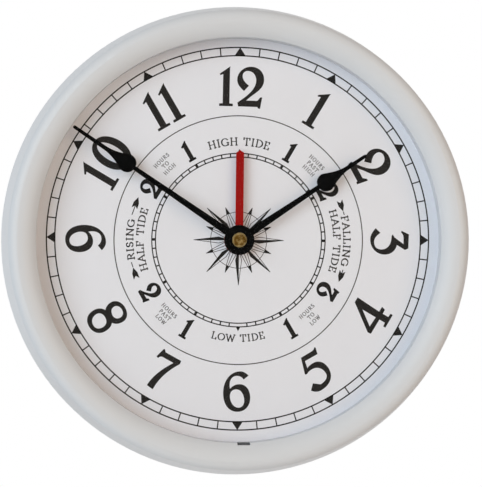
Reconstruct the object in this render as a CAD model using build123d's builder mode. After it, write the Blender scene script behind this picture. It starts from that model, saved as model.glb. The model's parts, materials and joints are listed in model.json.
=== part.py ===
from build123d import *

import os
from math import asin, cos, degrees, hypot, radians, sin, tan

# Wall tide clock, in millimetres. The origin is the centre of the wall plane, the dial faces -Y and
# +Z is up. A height is a distance in front of the wall.

# Case
CASE_RADIUS = 119.0
CASE_WALL = 2.4
CASE_DRAFT = 11.5
NOSE_RADIUS = 5.0
SLOPE_WIDTH = 8.6
SLOPE_DROP = 4.0
LIP_THICKNESS = 0.9
SKIRT_STEP = 0.9
GROOVE_BACKING = 1.2
NOTCH_WIDTH = 6.2
NOTCH_DEPTH = 1.0
NOTCH_OFFSET = 1.8

# Lens
LENS_THICKNESS = 1.6
LENS_GRIP = 1.4
LENS_SLACK = 0.1
LENS_HEADROOM = 1.0

# Back plate, dial and plate screws
PLATE_THICKNESS = 2.2
PLATE_SLACK = 0.4
RIB_HEIGHT = 3.0
RIB_WIDTH = 1.6
RIB_COUNT = 12
INNER_RING_MARGIN = 3.8
OUTER_RING_INSET = 16.2
DIAL_THICKNESS = 0.4
DIAL_MARGIN = 1.5
SCREW_COUNT = 6
SCREW_LENGTH = 8.5
SCREW_RADIUS = 1.0
SCREW_SLACK = 0.05
SCREW_HEAD_RADIUS = 2.8
SCREW_HEAD_HEIGHT = 1.6
SCREW_SLOT_WIDTH = 0.7
SCREW_SLOT_LENGTH = 3.2
SCREW_SLOT_DEPTH = 0.8
BOSS_RADIUS = 3.0

# Movement housing
WALL_GAP = 3.0
COVER_THICKNESS = 1.5
GEAR_SPACE = 12.0
FRONT_WALL = 1.5
MOVEMENT_TOP = 28.0
MOVEMENT_BOTTOM = -36.0
HOUSING_WALL = 1.2
HOUSING_CORNER = 2.0
BAY_HEIGHT = 15.4
STRIP_SLOT_WIDTH = 0.7
LATCH_WIDTH = 8.0
LATCH_THICKNESS = 1.0
LATCH_LENGTH = 7.0
LATCH_HOOK = 0.6
LATCH_SLACK = 0.05
LATCH_POSITIONS = (-8.0, 18.0)

# Hardware on the centre hole
HANGER_THICKNESS = 0.8
HANGER_WIDTH = 18.0
HANGER_FOOT = -9.0
HANGER_BEND = 31.0
HANGER_TOP = 62.0
HANGER_SETBACK = 2.6
HANGER_BEND_RADIUS = 1.6
KEYHOLE_RADIUS = 4.5
KEYHOLE_POSITION = 43.0
KEYHOLE_SLOT_RADIUS = 2.3
KEYHOLE_SLOT_LENGTH = 9.0
CUSHION_THICKNESS = 1.0
CUSHION_RADIUS = 9.0
WASHER_THICKNESS = 0.5
WASHER_RADIUS = 6.6
NUT_THICKNESS = 2.0
NUT_FLATS = 11.5
BUSH_RADIUS = 4.5
BUSH_STANDOUT = 0.3
BUSH_FLANGE_RADIUS = 5.6
BUSH_FLANGE_THICKNESS = 0.5
BUSH_SLACK = 0.05

# Concentric arbor and pipes, all running on one another with the same slack
RUNNING_SLACK = 0.1
PIPE_WALL = 0.8
TIDE_PIPE_WALL = 0.9
MINUTE_ARBOR_RADIUS = 1.45
MINUTE_PIVOT_RADIUS = 0.8
MINUTE_TIP_RADIUS = 1.1

# Hands
HAND_THICKNESS = 0.5
HAND_GAP = 0.8
PIPE_STANDOUT = 0.3
HAND_SLACK = 0.03
HUB_RADIUS = 7.35
SHOWN_MINUTES = 110.73
HOUR_HAND_LEAD = 1.0
SHOWN_TIDE = 0.7
SPADE_WIDTH = 9.0
SPADE_RISE = 4.4
SPADE_TIP_WIDTH = 1.6
MINUTE_TIP_GAP = 0.5
MINUTE_ROOT = 3.8
MINUTE_SHAFT = 2.15
MINUTE_SPADE = 35.9
MINUTE_POINT = 19.5
MINUTE_NECK_WIDTH = 2.1
HOUR_LENGTH = 75.5
HOUR_ROOT = 4.0
HOUR_SHAFT = 2.2
HOUR_SPADE_BASE = 47.2
HOUR_NECK = 63.6
HOUR_NECK_WIDTH = 2.1
TIDE_LENGTH = 44.3
TIDE_WIDTH = 3.9
TIDE_POINT = 1.3
COLLET_FLANGE = 5.2
COLLET_RADIUS = 4.2
COLLET_FLANGE_THICKNESS = 0.4
CAP_NUT_RADIUS = 3.6
CAP_NUT_HEIGHT = 2.2
CAP_NUT_DISH = 0.3
CAP_NUT_BEVEL = 0.6

# Gears: tooth form, shared thicknesses and levels
ADDENDUM = 0.8
DEDENDUM = 1.0
ROOT_SHARE = 0.24
TIP_SHARE = 0.10
WHEEL_THICKNESS = 0.9
PINION_THICKNESS = 1.3
FIRST_LEVEL = 2.2
LEVEL_STEP = 1.75
ARBOR_RADIUS = 0.6
PIVOT_SLACK = 0.06
PIVOT_DEPTH = 0.9
PIVOT_ENDPLAY = 0.1

# Tooth counts and modules
LEAVES = 6
INTERMEDIATE_TEETH = 36
SECONDS_TEETH = 30
THIRD_TEETH = 45
CENTRE_TEETH = 48
FAST_MODULE = 0.34
SECONDS_MODULE = 0.40
CENTRE_MODULE = 0.42
CANNON_TEETH = 10
MOTION_TEETH = 30
MOTION_LEAVES = 8
HOUR_TEETH = 32
MOTION_MODULE = 0.60
TIDE_DRIVE_TEETH = 57
TIDE_IDLER_TEETH = 18
TIDE_TEETH = 59
TIDE_MODULE = 0.35

# Directions from each axis to the next, in degrees from +X towards +Z
MOTION_BEARING = 200.0
IDLER_BEARING = -20.0
THIRD_BEARING = 60.0
SECONDS_BEARING = 120.0
INTERMEDIATE_BEARING = 165.0
ROTOR_BEARING = 190.0

# Setting knob and friction clutch
KNOB_RADIUS = 6.5
KNOB_THICKNESS = 2.0
KNOB_GAP = 0.2
KNOB_GRIPS = 30
KNOB_GRIP_DEPTH = 0.5
KNOB_ARBOR_RADIUS = 1.0
CLUTCH_RADIUS = 3.0
CLUTCH_THICKNESS = 0.3
CLUTCH_SLACK = 0.05

# Stepping motor
MAGNET_RADIUS = 2.6
MAGNET_THICKNESS = 2.4
ROTOR_GAP = 0.5
STATOR_THICKNESS = 1.0
STATOR_RIM = 1.3
STATOR_HEIGHT = 3.1
STATOR_BOTTOM = 4.5
STATOR_TOP = 25.5
STATOR_LUG = 2.5
CORE_WIDTH = 3.0
CORE_THICKNESS = 1.0
COIL_POSITION = -22.5
BOBBIN_SLACK = 0.1
BOBBIN_WALL = 0.7
BOBBIN_FLANGE = 0.8
BOBBIN_CLEARANCE = 0.6
FLANGE_WIDTH = 8.2
FLANGE_DEPTH = 6.4
WINDING_INSET = 0.4
STATOR_POST_RADIUS = 1.3
STATOR_POSTS = ((-10.2, 8.4), (-15.6, 24.2))

# Circuit board, cell and contacts
BOARD_WIDTH = 10.0
BOARD_EDGE_GAP = 0.8
BOARD_BOTTOM = -17.0
BOARD_TOP = 26.0
BOARD_THICKNESS = 1.0
BOARD_HEIGHT = 8.5
BOARD_POST_RADIUS = 1.5
BOARD_POST_HEIGHTS = (-9.0, 19.0)
CHIP_SIZE = 6.0
CHIP_THICKNESS = 1.2
CHIP_POSITION = -4.0
CRYSTAL_RADIUS = 1.5
CRYSTAL_LENGTH = 8.0
CRYSTAL_POSITION = 9.0
CRYSTAL_SLACK = 0.05
CELL_RADIUS = 7.1
CELL_BODY = 49.2
CELL_NUB_RADIUS = 2.75
CELL_NUB = 1.3
CELL_SLACK = 0.3
CELL_END_ROOM = 2.55
CELL_EDGE = 0.8
STRIP_THICKNESS = 0.4
STRIP_WIDTH = 3.0
CONTACT_HEIGHT = 8.0
CONTACT_GAP = 0.3
TAB_LENGTH = 3.0

# Heights, counted forwards from the wall
gear_floor = WALL_GAP + COVER_THICKNESS
gear_roof = gear_floor + GEAR_SPACE
movement_front = gear_roof + FRONT_WALL
hanger_front = movement_front + HANGER_THICKNESS
plate_back = hanger_front + CUSHION_THICKNESS
plate_front = plate_back + PLATE_THICKNESS
dial_front = plate_front + DIAL_THICKNESS
washer_front = dial_front + WASHER_THICKNESS
nut_front = washer_front + NUT_THICKNESS
bush_front = nut_front + BUSH_STANDOUT
tide_hand_back = bush_front + HAND_GAP
tide_hand_front = tide_hand_back + HAND_THICKNESS
tide_pipe_front = tide_hand_front + PIPE_STANDOUT
hour_hand_back = tide_pipe_front + HAND_GAP
hour_hand_front = hour_hand_back + HAND_THICKNESS
hour_pipe_front = hour_hand_front + PIPE_STANDOUT
minute_hand_back = hour_pipe_front + HAND_GAP
minute_hand_front = minute_hand_back + HAND_THICKNESS
cap_nut_front = minute_hand_front + CAP_NUT_HEIGHT
lens_back = cap_nut_front + LENS_HEADROOM
lens_front = lens_back + LENS_THICKNESS
lip_back = lens_front + LENS_SLACK
lip_front = lip_back + LIP_THICKNESS
ridge_height = lip_front + SLOPE_DROP
nose_base = ridge_height - NOSE_RADIUS
shoulder_height = nose_base - NOSE_RADIUS * sin(radians(CASE_DRAFT))

# Radii that follow from the fits
shoulder_radius = CASE_RADIUS - shoulder_height * tan(radians(CASE_DRAFT))
ridge_radius = shoulder_radius - NOSE_RADIUS * cos(radians(CASE_DRAFT))
lip_radius = ridge_radius - SLOPE_WIDTH
groove_radius = lip_radius + LENS_GRIP
lens_radius = groove_radius - LENS_SLACK
skirt_inner = lip_radius + SKIRT_STEP
skirt_outer = groove_radius + GROOVE_BACKING
dial_radius = skirt_inner + DIAL_MARGIN
inner_foot = CASE_RADIUS - CASE_WALL / cos(radians(CASE_DRAFT))
case_inner = inner_foot - plate_front * tan(radians(CASE_DRAFT))
inner_nose = NOSE_RADIUS - CASE_WALL
slope_radius = (SLOPE_WIDTH**2 + SLOPE_DROP**2) / (2 * SLOPE_DROP)
slope_sweep = degrees(asin(SLOPE_WIDTH / slope_radius))
plate_radius = case_inner - PLATE_SLACK
nose_bevel = inner_nose * sin(radians(45))
inner_shoulder = ridge_radius + inner_nose * cos(radians(CASE_DRAFT))
inner_shoulder_height = nose_base - inner_nose * sin(radians(CASE_DRAFT))
screw_circle = (skirt_outer + case_inner) / 2
minute_length = lip_radius - MINUTE_TIP_GAP
hour_bore = MINUTE_ARBOR_RADIUS + RUNNING_SLACK
hour_pipe_radius = hour_bore + PIPE_WALL
tide_bore = hour_pipe_radius + RUNNING_SLACK
tide_pipe_radius = tide_bore + TIDE_PIPE_WALL
bush_bore = tide_pipe_radius + RUNNING_SLACK
stator_hole = MAGNET_RADIUS + ROTOR_GAP

# Movement outline and cell bay
inner_half_width = (CELL_BODY + CELL_NUB) / 2 + CELL_END_ROOM
movement_width = 2 * (inner_half_width + HOUSING_WALL)
board_right = inner_half_width - BOARD_EDGE_GAP
board_left = board_right - BOARD_WIDTH
board_posts = [(board_right - BOARD_WIDTH / 2, height) for height in BOARD_POST_HEIGHTS]
bay_bottom = MOVEMENT_BOTTOM + HOUSING_WALL
bay_top = bay_bottom + BAY_HEIGHT
gears_bottom = bay_top + HOUSING_WALL
gears_top = MOVEMENT_TOP - HOUSING_WALL
cell_axis = (bay_bottom + bay_top) / 2
cell_height = gear_roof - CELL_SLACK - CELL_RADIUS
inner_ring = hypot(movement_width / 2, MOVEMENT_BOTTOM) + INNER_RING_MARGIN
outer_ring = plate_radius - OUTER_RING_INSET

# The tide idler has two toothed rims of one tooth count, so the second takes the module that gives
# its 59-tooth wheel the same centre distance.
tide_wheel_module = TIDE_MODULE * (TIDE_DRIVE_TEETH + TIDE_IDLER_TEETH) / (TIDE_TEETH + TIDE_IDLER_TEETH)


def facing(height, at=(0.0, 0.0), turn=0.0):
    """Plane parallel to the wall, seen from the front, turned clockwise by an angle."""
    x_dir = (cos(radians(turn)), 0, -sin(radians(turn)))
    return Plane(origin=(at[0], -height, at[1]), x_dir=x_dir, z_dir=(0, -1, 0))


def level(step):
    """Middle height of one layer of wheels."""
    return gear_floor + FIRST_LEVEL + step * LEVEL_STEP


def next_axis(start, bearing, module, teeth, mate_teeth):
    """Axis of a wheel in mesh with the one at the start axis."""
    distance = module * (teeth + mate_teeth) / 2
    return (
        start[0] + distance * cos(radians(bearing)),
        start[1] + distance * sin(radians(bearing)),
    )


def meshed_turn(teeth, turn, mate_teeth, bearing):
    """Angle that puts a gap of the mating wheel opposite a tooth of the first wheel."""
    pitch = 360 / teeth
    mate_pitch = 360 / mate_teeth
    return bearing + 180 - mate_pitch * (0.5 - (bearing - turn) / pitch)


def gear_outline(teeth, module, turn=0.0, addendum=ADDENDUM, dedendum=DEDENDUM):
    """Toothed outline with straight flanks and backlash."""
    root = module * (teeth / 2 - dedendum)
    tip = module * (teeth / 2 + addendum)
    corners = []
    for tooth in range(teeth):
        for radius, share in (
            (root, -ROOT_SHARE),
            (tip, -TIP_SHARE),
            (tip, TIP_SHARE),
            (root, ROOT_SHARE),
        ):
            angle = radians(turn + (tooth + share) * 360 / teeth)
            corners.append((radius * cos(angle), radius * sin(angle)))
    with BuildSketch() as outline:
        with BuildLine():
            Polyline(*corners, close=True)
        make_face()
    return outline.sketch


def arbor_wheel(axis, gears):
    """Plain arbor between the two plates with its toothed wheels, each (outline, height, thickness)."""
    with BuildPart() as wheel:
        with BuildSketch(facing(gear_floor - PIVOT_DEPTH + PIVOT_ENDPLAY, axis)):
            Circle(ARBOR_RADIUS)
        extrude(amount=GEAR_SPACE + 2 * (PIVOT_DEPTH - PIVOT_ENDPLAY))
        for outline, middle, thickness in gears:
            with BuildSketch(facing(middle - thickness / 2, axis)):
                add(outline)
            extrude(amount=thickness)
    return wheel


def spade_outline(length, root_width, shaft_width, spade_base, neck, neck_width):
    """Outline of a spade hand that points along +Y."""
    half_spade = SPADE_WIDTH / 2
    spade_peak = spade_base + SPADE_RISE
    rise = SPADE_RISE
    run = neck - spade_peak
    tip = SPADE_TIP_WIDTH / 2
    with BuildSketch() as outline:
        with BuildLine():
            Line((0, 0), (root_width / 2, 0))
            Line((root_width / 2, 0), (shaft_width / 2, spade_base))
            Bezier(
                (shaft_width / 2, spade_base),
                (half_spade * 0.7, spade_base),
                (half_spade, spade_peak - rise * 0.45),
                (half_spade, spade_peak),
            )
            Bezier(
                (half_spade, spade_peak),
                (half_spade, spade_peak + run * 0.1),
                (neck_width * 0.62, neck - run * 0.5),
                (neck_width / 2, neck),
            )
            Line((neck_width / 2, neck), (tip, length - tip))
            RadiusArc((tip, length - tip), (0, length), -tip)
            mirror(about=Plane.YZ)
        make_face()
        Circle(HUB_RADIUS)
    return outline.sketch


# Axes of the wheels
centre_axis = (0.0, 0.0)
motion_axis = next_axis(centre_axis, MOTION_BEARING, MOTION_MODULE, CANNON_TEETH, MOTION_TEETH)
idler_axis = next_axis(centre_axis, IDLER_BEARING, TIDE_MODULE, TIDE_DRIVE_TEETH, TIDE_IDLER_TEETH)
third_axis = next_axis(centre_axis, THIRD_BEARING, CENTRE_MODULE, CENTRE_TEETH, LEAVES)
seconds_axis = next_axis(third_axis, SECONDS_BEARING, FAST_MODULE, THIRD_TEETH, LEAVES)
intermediate_axis = next_axis(seconds_axis, INTERMEDIATE_BEARING, SECONDS_MODULE, SECONDS_TEETH, LEAVES)
rotor_axis = next_axis(intermediate_axis, ROTOR_BEARING, FAST_MODULE, INTERMEDIATE_TEETH, LEAVES)
plain_axes = (idler_axis, third_axis, seconds_axis, intermediate_axis, rotor_axis)

# Angles at which the teeth mesh
motion_turn = meshed_turn(CANNON_TEETH, 0.0, MOTION_TEETH, MOTION_BEARING)
hour_turn = meshed_turn(MOTION_LEAVES, 0.0, HOUR_TEETH, MOTION_BEARING + 180)
idler_turn = meshed_turn(TIDE_DRIVE_TEETH, 0.0, TIDE_IDLER_TEETH, IDLER_BEARING)
tide_turn = meshed_turn(TIDE_IDLER_TEETH, idler_turn, TIDE_TEETH, IDLER_BEARING + 180)
third_leaf_turn = meshed_turn(CENTRE_TEETH, 0.0, LEAVES, THIRD_BEARING)
seconds_leaf_turn = meshed_turn(THIRD_TEETH, 0.0, LEAVES, SECONDS_BEARING)
intermediate_leaf_turn = meshed_turn(SECONDS_TEETH, 0.0, LEAVES, INTERMEDIATE_BEARING)
rotor_leaf_turn = meshed_turn(INTERMEDIATE_TEETH, 0.0, LEAVES, ROTOR_BEARING)

# Hand angles, clockwise from twelve
minute_angle = SHOWN_MINUTES * 6
hour_angle = SHOWN_MINUTES / 2 + HOUR_HAND_LEAD

# Rim: hollow ring, open at the back, with a lens groove behind its inner lip
SECTION = Plane(origin=(0, 0, 0), x_dir=(1, 0, 0), z_dir=(0, 0, -1))
with BuildPart() as case_rim:
    with BuildSketch(SECTION):
        with BuildLine():
            Polyline(
                (inner_shoulder, inner_shoulder_height),
                (inner_foot, 0),
                (CASE_RADIUS, 0),
                (shoulder_radius, shoulder_height),
            )
            CenterArc((ridge_radius, nose_base), NOSE_RADIUS, -CASE_DRAFT, arc_size=90 + CASE_DRAFT)
            CenterArc((ridge_radius, ridge_height - slope_radius), slope_radius, 90, arc_size=slope_sweep)
            Polyline(
                (lip_radius, lip_front),
                (lip_radius, lip_back),
                (groove_radius, lip_back),
                (groove_radius, lens_back),
                (skirt_inner, lens_back),
                (skirt_inner, dial_front),
                (skirt_outer, dial_front),
                (skirt_outer, lip_front),
                (ridge_radius, ridge_height - CASE_WALL),
                (ridge_radius + nose_bevel, nose_base + nose_bevel),
                (inner_shoulder, inner_shoulder_height),
            )
        make_face()
    revolve(axis=Axis.Y)
    with BuildSketch(facing(plate_front)):
        with PolarLocations(screw_circle, SCREW_COUNT):
            Circle(BOSS_RADIUS)
    extrude(amount=ridge_height - CASE_WALL * 0.6 - plate_front)
    with BuildSketch(facing(plate_front)):
        with PolarLocations(screw_circle, SCREW_COUNT):
            Circle(SCREW_RADIUS + SCREW_SLACK)
    extrude(amount=SCREW_LENGTH, mode=Mode.SUBTRACT)
    with BuildSketch(facing(lip_back, (NOTCH_OFFSET, -lip_radius))):
        Rectangle(NOTCH_WIDTH, 2 * NOTCH_DEPTH)
    extrude(amount=SLOPE_DROP, mode=Mode.SUBTRACT)

# Clear lens, snapped into the groove
with BuildPart() as lens:
    with BuildSketch(facing(lens_back)):
        Circle(lens_radius)
    extrude(amount=LENS_THICKNESS)

# Printed dial, clamped between the skirt of the rim and the back plate
with BuildPart() as dial:
    with BuildSketch(facing(plate_front)):
        Circle(dial_radius)
        Circle(BUSH_RADIUS + BUSH_SLACK, mode=Mode.SUBTRACT)
    extrude(amount=DIAL_THICKNESS)

# Back plate with stiffening ribs on its rear face
with BuildPart() as back_plate:
    with BuildSketch(facing(plate_back)):
        Circle(plate_radius)
        Circle(BUSH_RADIUS + BUSH_SLACK, mode=Mode.SUBTRACT)
        with PolarLocations(screw_circle, SCREW_COUNT):
            Circle(SCREW_RADIUS + SCREW_SLACK, mode=Mode.SUBTRACT)
    extrude(amount=PLATE_THICKNESS)
    for ring_radius in (inner_ring, outer_ring):
        with BuildSketch(facing(plate_back)):
            Circle(ring_radius + RIB_WIDTH / 2)
            Circle(ring_radius - RIB_WIDTH / 2, mode=Mode.SUBTRACT)
        extrude(amount=-RIB_HEIGHT)
    with BuildSketch(facing(plate_back)):
        with PolarLocations((inner_ring + outer_ring) / 2, RIB_COUNT):
            Rectangle(outer_ring - inner_ring, RIB_WIDTH)
    extrude(amount=-RIB_HEIGHT)

# Screws that hold the back plate to the rim
with BuildPart() as plate_screws:
    with BuildSketch(facing(plate_back)):
        with PolarLocations(screw_circle, SCREW_COUNT):
            Circle(SCREW_HEAD_RADIUS)
    extrude(amount=-SCREW_HEAD_HEIGHT)
    with BuildSketch(facing(plate_back)):
        with PolarLocations(screw_circle, SCREW_COUNT):
            Circle(SCREW_RADIUS)
    extrude(amount=SCREW_LENGTH)
    with BuildSketch(facing(plate_back - SCREW_HEAD_HEIGHT)):
        with PolarLocations(screw_circle, SCREW_COUNT):
            Rectangle(SCREW_SLOT_LENGTH, SCREW_SLOT_WIDTH)
            Rectangle(SCREW_SLOT_WIDTH, SCREW_SLOT_LENGTH)
    extrude(amount=SCREW_SLOT_DEPTH, mode=Mode.SUBTRACT)

# Movement housing: tray with a gear chamber, an open cell bay and latches for the cover
movement_middle = (MOVEMENT_TOP + MOVEMENT_BOTTOM) / 2
movement_height = MOVEMENT_TOP - MOVEMENT_BOTTOM
with BuildPart() as movement_housing:
    with BuildSketch(facing(gear_floor, (0, movement_middle))):
        RectangleRounded(movement_width, movement_height, HOUSING_CORNER)
    extrude(amount=movement_front - gear_floor)
    with BuildSketch(facing(gear_floor, (0, (gears_bottom + gears_top) / 2))):
        Rectangle(2 * inner_half_width, gears_top - gears_bottom)
    extrude(amount=GEAR_SPACE, mode=Mode.SUBTRACT)
    with BuildSketch(facing(gear_floor, (0, cell_axis))):
        Rectangle(2 * inner_half_width, BAY_HEIGHT)
    extrude(amount=GEAR_SPACE, mode=Mode.SUBTRACT)
    for side in (-1, 1):
        slot_middle = (side * (inner_half_width - STRIP_SLOT_WIDTH / 2), bay_top + HOUSING_WALL / 2)
        with BuildSketch(facing(gear_floor, slot_middle)):
            Rectangle(STRIP_SLOT_WIDTH, HOUSING_WALL)
        extrude(amount=BOARD_HEIGHT + STRIP_THICKNESS, mode=Mode.SUBTRACT)
    for side in (-1, 1):
        for position in LATCH_POSITIONS:
            arm_middle = (side * (movement_width / 2 + LATCH_SLACK + LATCH_THICKNESS / 2), position)
            hook_middle = (side * (movement_width / 2 + LATCH_SLACK + LATCH_THICKNESS - LATCH_HOOK), position)
            root_middle = (side * (movement_width / 2 + LATCH_THICKNESS / 2), position)
            with BuildSketch(facing(WALL_GAP - LATCH_SLACK, arm_middle)):
                Rectangle(LATCH_THICKNESS, LATCH_WIDTH)
            extrude(amount=LATCH_LENGTH)
            with BuildSketch(facing(gear_floor + LATCH_THICKNESS, root_middle)):
                Rectangle(LATCH_THICKNESS + 2 * LATCH_SLACK, LATCH_WIDTH)
            extrude(amount=WALL_GAP - LATCH_SLACK + LATCH_LENGTH - gear_floor - LATCH_THICKNESS)
            with BuildSketch(facing(WALL_GAP - LATCH_SLACK, hook_middle)):
                Rectangle(2 * LATCH_HOOK, LATCH_WIDTH)
            extrude(amount=-LATCH_HOOK)
    for post in STATOR_POSTS:
        with BuildSketch(facing(gear_floor + STATOR_HEIGHT + STATOR_THICKNESS, post)):
            Circle(STATOR_POST_RADIUS)
        extrude(amount=GEAR_SPACE - STATOR_HEIGHT - STATOR_THICKNESS)
    for post in board_posts:
        with BuildSketch(facing(gear_floor + BOARD_HEIGHT + BOARD_THICKNESS, post)):
            Circle(BOARD_POST_RADIUS)
        extrude(amount=GEAR_SPACE - BOARD_HEIGHT - BOARD_THICKNESS)
    with BuildSketch(facing(gear_roof)):
        Circle(BUSH_RADIUS + BUSH_SLACK)
    extrude(amount=FRONT_WALL, mode=Mode.SUBTRACT)
    with BuildSketch(facing(gear_roof)):
        Circle(BUSH_FLANGE_RADIUS + BUSH_SLACK)
    extrude(amount=BUSH_FLANGE_THICKNESS, mode=Mode.SUBTRACT)
    for axis in plain_axes + (motion_axis,):
        with BuildSketch(facing(gear_roof, axis)):
            Circle(ARBOR_RADIUS + PIVOT_SLACK)
        extrude(amount=PIVOT_DEPTH, mode=Mode.SUBTRACT)

# Rear cover of the gear chamber, with a pivot hole for each arbor
cover_bottom = bay_top + HOUSING_WALL / 2
with BuildPart() as movement_cover:
    with BuildSketch(facing(WALL_GAP, (0, (cover_bottom + MOVEMENT_TOP) / 2))):
        RectangleRounded(movement_width, MOVEMENT_TOP - cover_bottom, HOUSING_CORNER)
    extrude(amount=COVER_THICKNESS)
    for axis in plain_axes:
        with BuildSketch(facing(gear_floor, axis)):
            Circle(ARBOR_RADIUS + PIVOT_SLACK)
        extrude(amount=-PIVOT_DEPTH, mode=Mode.SUBTRACT)
    with BuildSketch(facing(gear_floor)):
        Circle(MINUTE_PIVOT_RADIUS + PIVOT_SLACK)
    extrude(amount=-PIVOT_DEPTH, mode=Mode.SUBTRACT)
    with BuildSketch(facing(WALL_GAP, motion_axis)):
        Circle(KNOB_ARBOR_RADIUS + PIVOT_SLACK)
    extrude(amount=COVER_THICKNESS, mode=Mode.SUBTRACT)

# Threaded bush, flanged inside the housing
with BuildPart() as shaft_bush:
    with BuildSketch(facing(gear_roof)):
        Circle(BUSH_RADIUS)
    extrude(amount=bush_front - gear_roof)
    with BuildSketch(facing(gear_roof)):
        Circle(BUSH_FLANGE_RADIUS)
    extrude(amount=BUSH_FLANGE_THICKNESS)
    with BuildSketch(facing(gear_roof)):
        Circle(bush_bore)
    extrude(amount=bush_front - gear_roof, mode=Mode.SUBTRACT)

# Bent hanging strip with a keyhole above the movement
with BuildPart() as hanger:
    with BuildSketch(Plane.YZ):
        with BuildLine():
            FilletPolyline(
                (-movement_front - HANGER_THICKNESS / 2, HANGER_FOOT),
                (-movement_front - HANGER_THICKNESS / 2, HANGER_BEND),
                (-HANGER_SETBACK, HANGER_BEND),
                (-HANGER_SETBACK, HANGER_TOP),
                radius=HANGER_BEND_RADIUS,
            )
        trace(line_width=HANGER_THICKNESS)
    extrude(amount=HANGER_WIDTH / 2, both=True)
    with BuildSketch(facing(movement_front)):
        Circle(BUSH_RADIUS + BUSH_SLACK)
    extrude(amount=HANGER_THICKNESS, mode=Mode.SUBTRACT)
    with BuildSketch(facing(0, (0, KEYHOLE_POSITION))):
        Circle(KEYHOLE_RADIUS)
        with Locations((0, KEYHOLE_SLOT_LENGTH / 2)):
            Rectangle(2 * KEYHOLE_SLOT_RADIUS, KEYHOLE_SLOT_LENGTH)
        with Locations((0, KEYHOLE_SLOT_LENGTH)):
            Circle(KEYHOLE_SLOT_RADIUS)
    extrude(amount=2 * HANGER_SETBACK, mode=Mode.SUBTRACT)

# Washers and nut that clamp the movement to the back plate
with BuildPart() as rubber_washer:
    with BuildSketch(facing(hanger_front)):
        Circle(CUSHION_RADIUS)
        Circle(BUSH_RADIUS + BUSH_SLACK, mode=Mode.SUBTRACT)
    extrude(amount=CUSHION_THICKNESS)

with BuildPart() as dial_washer:
    with BuildSketch(facing(dial_front)):
        Circle(WASHER_RADIUS)
        Circle(BUSH_RADIUS + BUSH_SLACK, mode=Mode.SUBTRACT)
    extrude(amount=WASHER_THICKNESS)

with BuildPart() as dial_nut:
    with BuildSketch(facing(washer_front)):
        RegularPolygon(NUT_FLATS / 2, 6, major_radius=False)
        Circle(BUSH_RADIUS + BUSH_SLACK, mode=Mode.SUBTRACT)
    extrude(amount=NUT_THICKNESS)

# Minute arbor: rear pivot, clutch collar, cannon pinion, and a threaded tip for the cap nut
clutch_back = level(0) + WHEEL_THICKNESS / 2 + CLUTCH_SLACK
collar_back = clutch_back + CLUTCH_THICKNESS + CLUTCH_SLACK
arbor_back = gear_floor + PIVOT_ENDPLAY
tip_front = cap_nut_front - CAP_NUT_BEVEL
with BuildPart() as minute_arbor:
    with BuildSketch(facing(gear_floor - PIVOT_DEPTH + PIVOT_ENDPLAY)):
        Circle(MINUTE_PIVOT_RADIUS)
    extrude(amount=PIVOT_DEPTH)
    with BuildSketch(facing(arbor_back)):
        Circle(MINUTE_ARBOR_RADIUS)
    extrude(amount=minute_hand_back - arbor_back)
    with BuildSketch(facing(minute_hand_back)):
        Circle(MINUTE_TIP_RADIUS)
    extrude(amount=tip_front - minute_hand_back)
    with BuildSketch(facing(collar_back)):
        Circle(CLUTCH_RADIUS)
    extrude(amount=CLUTCH_THICKNESS)
    with BuildSketch(facing(level(2) - PINION_THICKNESS / 2)):
        add(gear_outline(CANNON_TEETH, MOTION_MODULE))
    extrude(amount=PINION_THICKNESS)

with BuildPart() as clutch_washer:
    with BuildSketch(facing(clutch_back)):
        Circle(CLUTCH_RADIUS)
        Circle(MINUTE_ARBOR_RADIUS + CLUTCH_SLACK, mode=Mode.SUBTRACT)
    extrude(amount=CLUTCH_THICKNESS)

with BuildPart() as centre_wheel:
    with BuildSketch(facing(level(0) - WHEEL_THICKNESS / 2)):
        add(gear_outline(CENTRE_TEETH, CENTRE_MODULE))
        Circle(MINUTE_ARBOR_RADIUS + CLUTCH_SLACK, mode=Mode.SUBTRACT)
    extrude(amount=WHEEL_THICKNESS)

# Motion wheel, on an arbor that runs out through the cover to the setting knob
knob_front = WALL_GAP - KNOB_GAP
knob_back = knob_front - KNOB_THICKNESS
with BuildPart() as motion_wheel:
    with BuildSketch(facing(knob_back, motion_axis)):
        Circle(KNOB_ARBOR_RADIUS)
    extrude(amount=gear_roof - PIVOT_ENDPLAY - knob_back)
    with BuildSketch(facing(gear_roof - PIVOT_ENDPLAY, motion_axis)):
        Circle(ARBOR_RADIUS)
    extrude(amount=PIVOT_DEPTH)
    with BuildSketch(facing(level(2) - WHEEL_THICKNESS / 2, motion_axis)):
        add(gear_outline(MOTION_TEETH, MOTION_MODULE, motion_turn))
    extrude(amount=WHEEL_THICKNESS)
    with BuildSketch(facing(level(3) - PINION_THICKNESS / 2, motion_axis)):
        add(gear_outline(MOTION_LEAVES, MOTION_MODULE))
    extrude(amount=PINION_THICKNESS)

with BuildPart() as set_knob:
    with BuildSketch(facing(knob_back, motion_axis)):
        add(gear_outline(KNOB_GRIPS, 2 * KNOB_RADIUS / KNOB_GRIPS, 0.0, 0.0, KNOB_GRIP_DEPTH))
        Circle(KNOB_ARBOR_RADIUS + HAND_SLACK, mode=Mode.SUBTRACT)
    extrude(amount=KNOB_THICKNESS)

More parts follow.
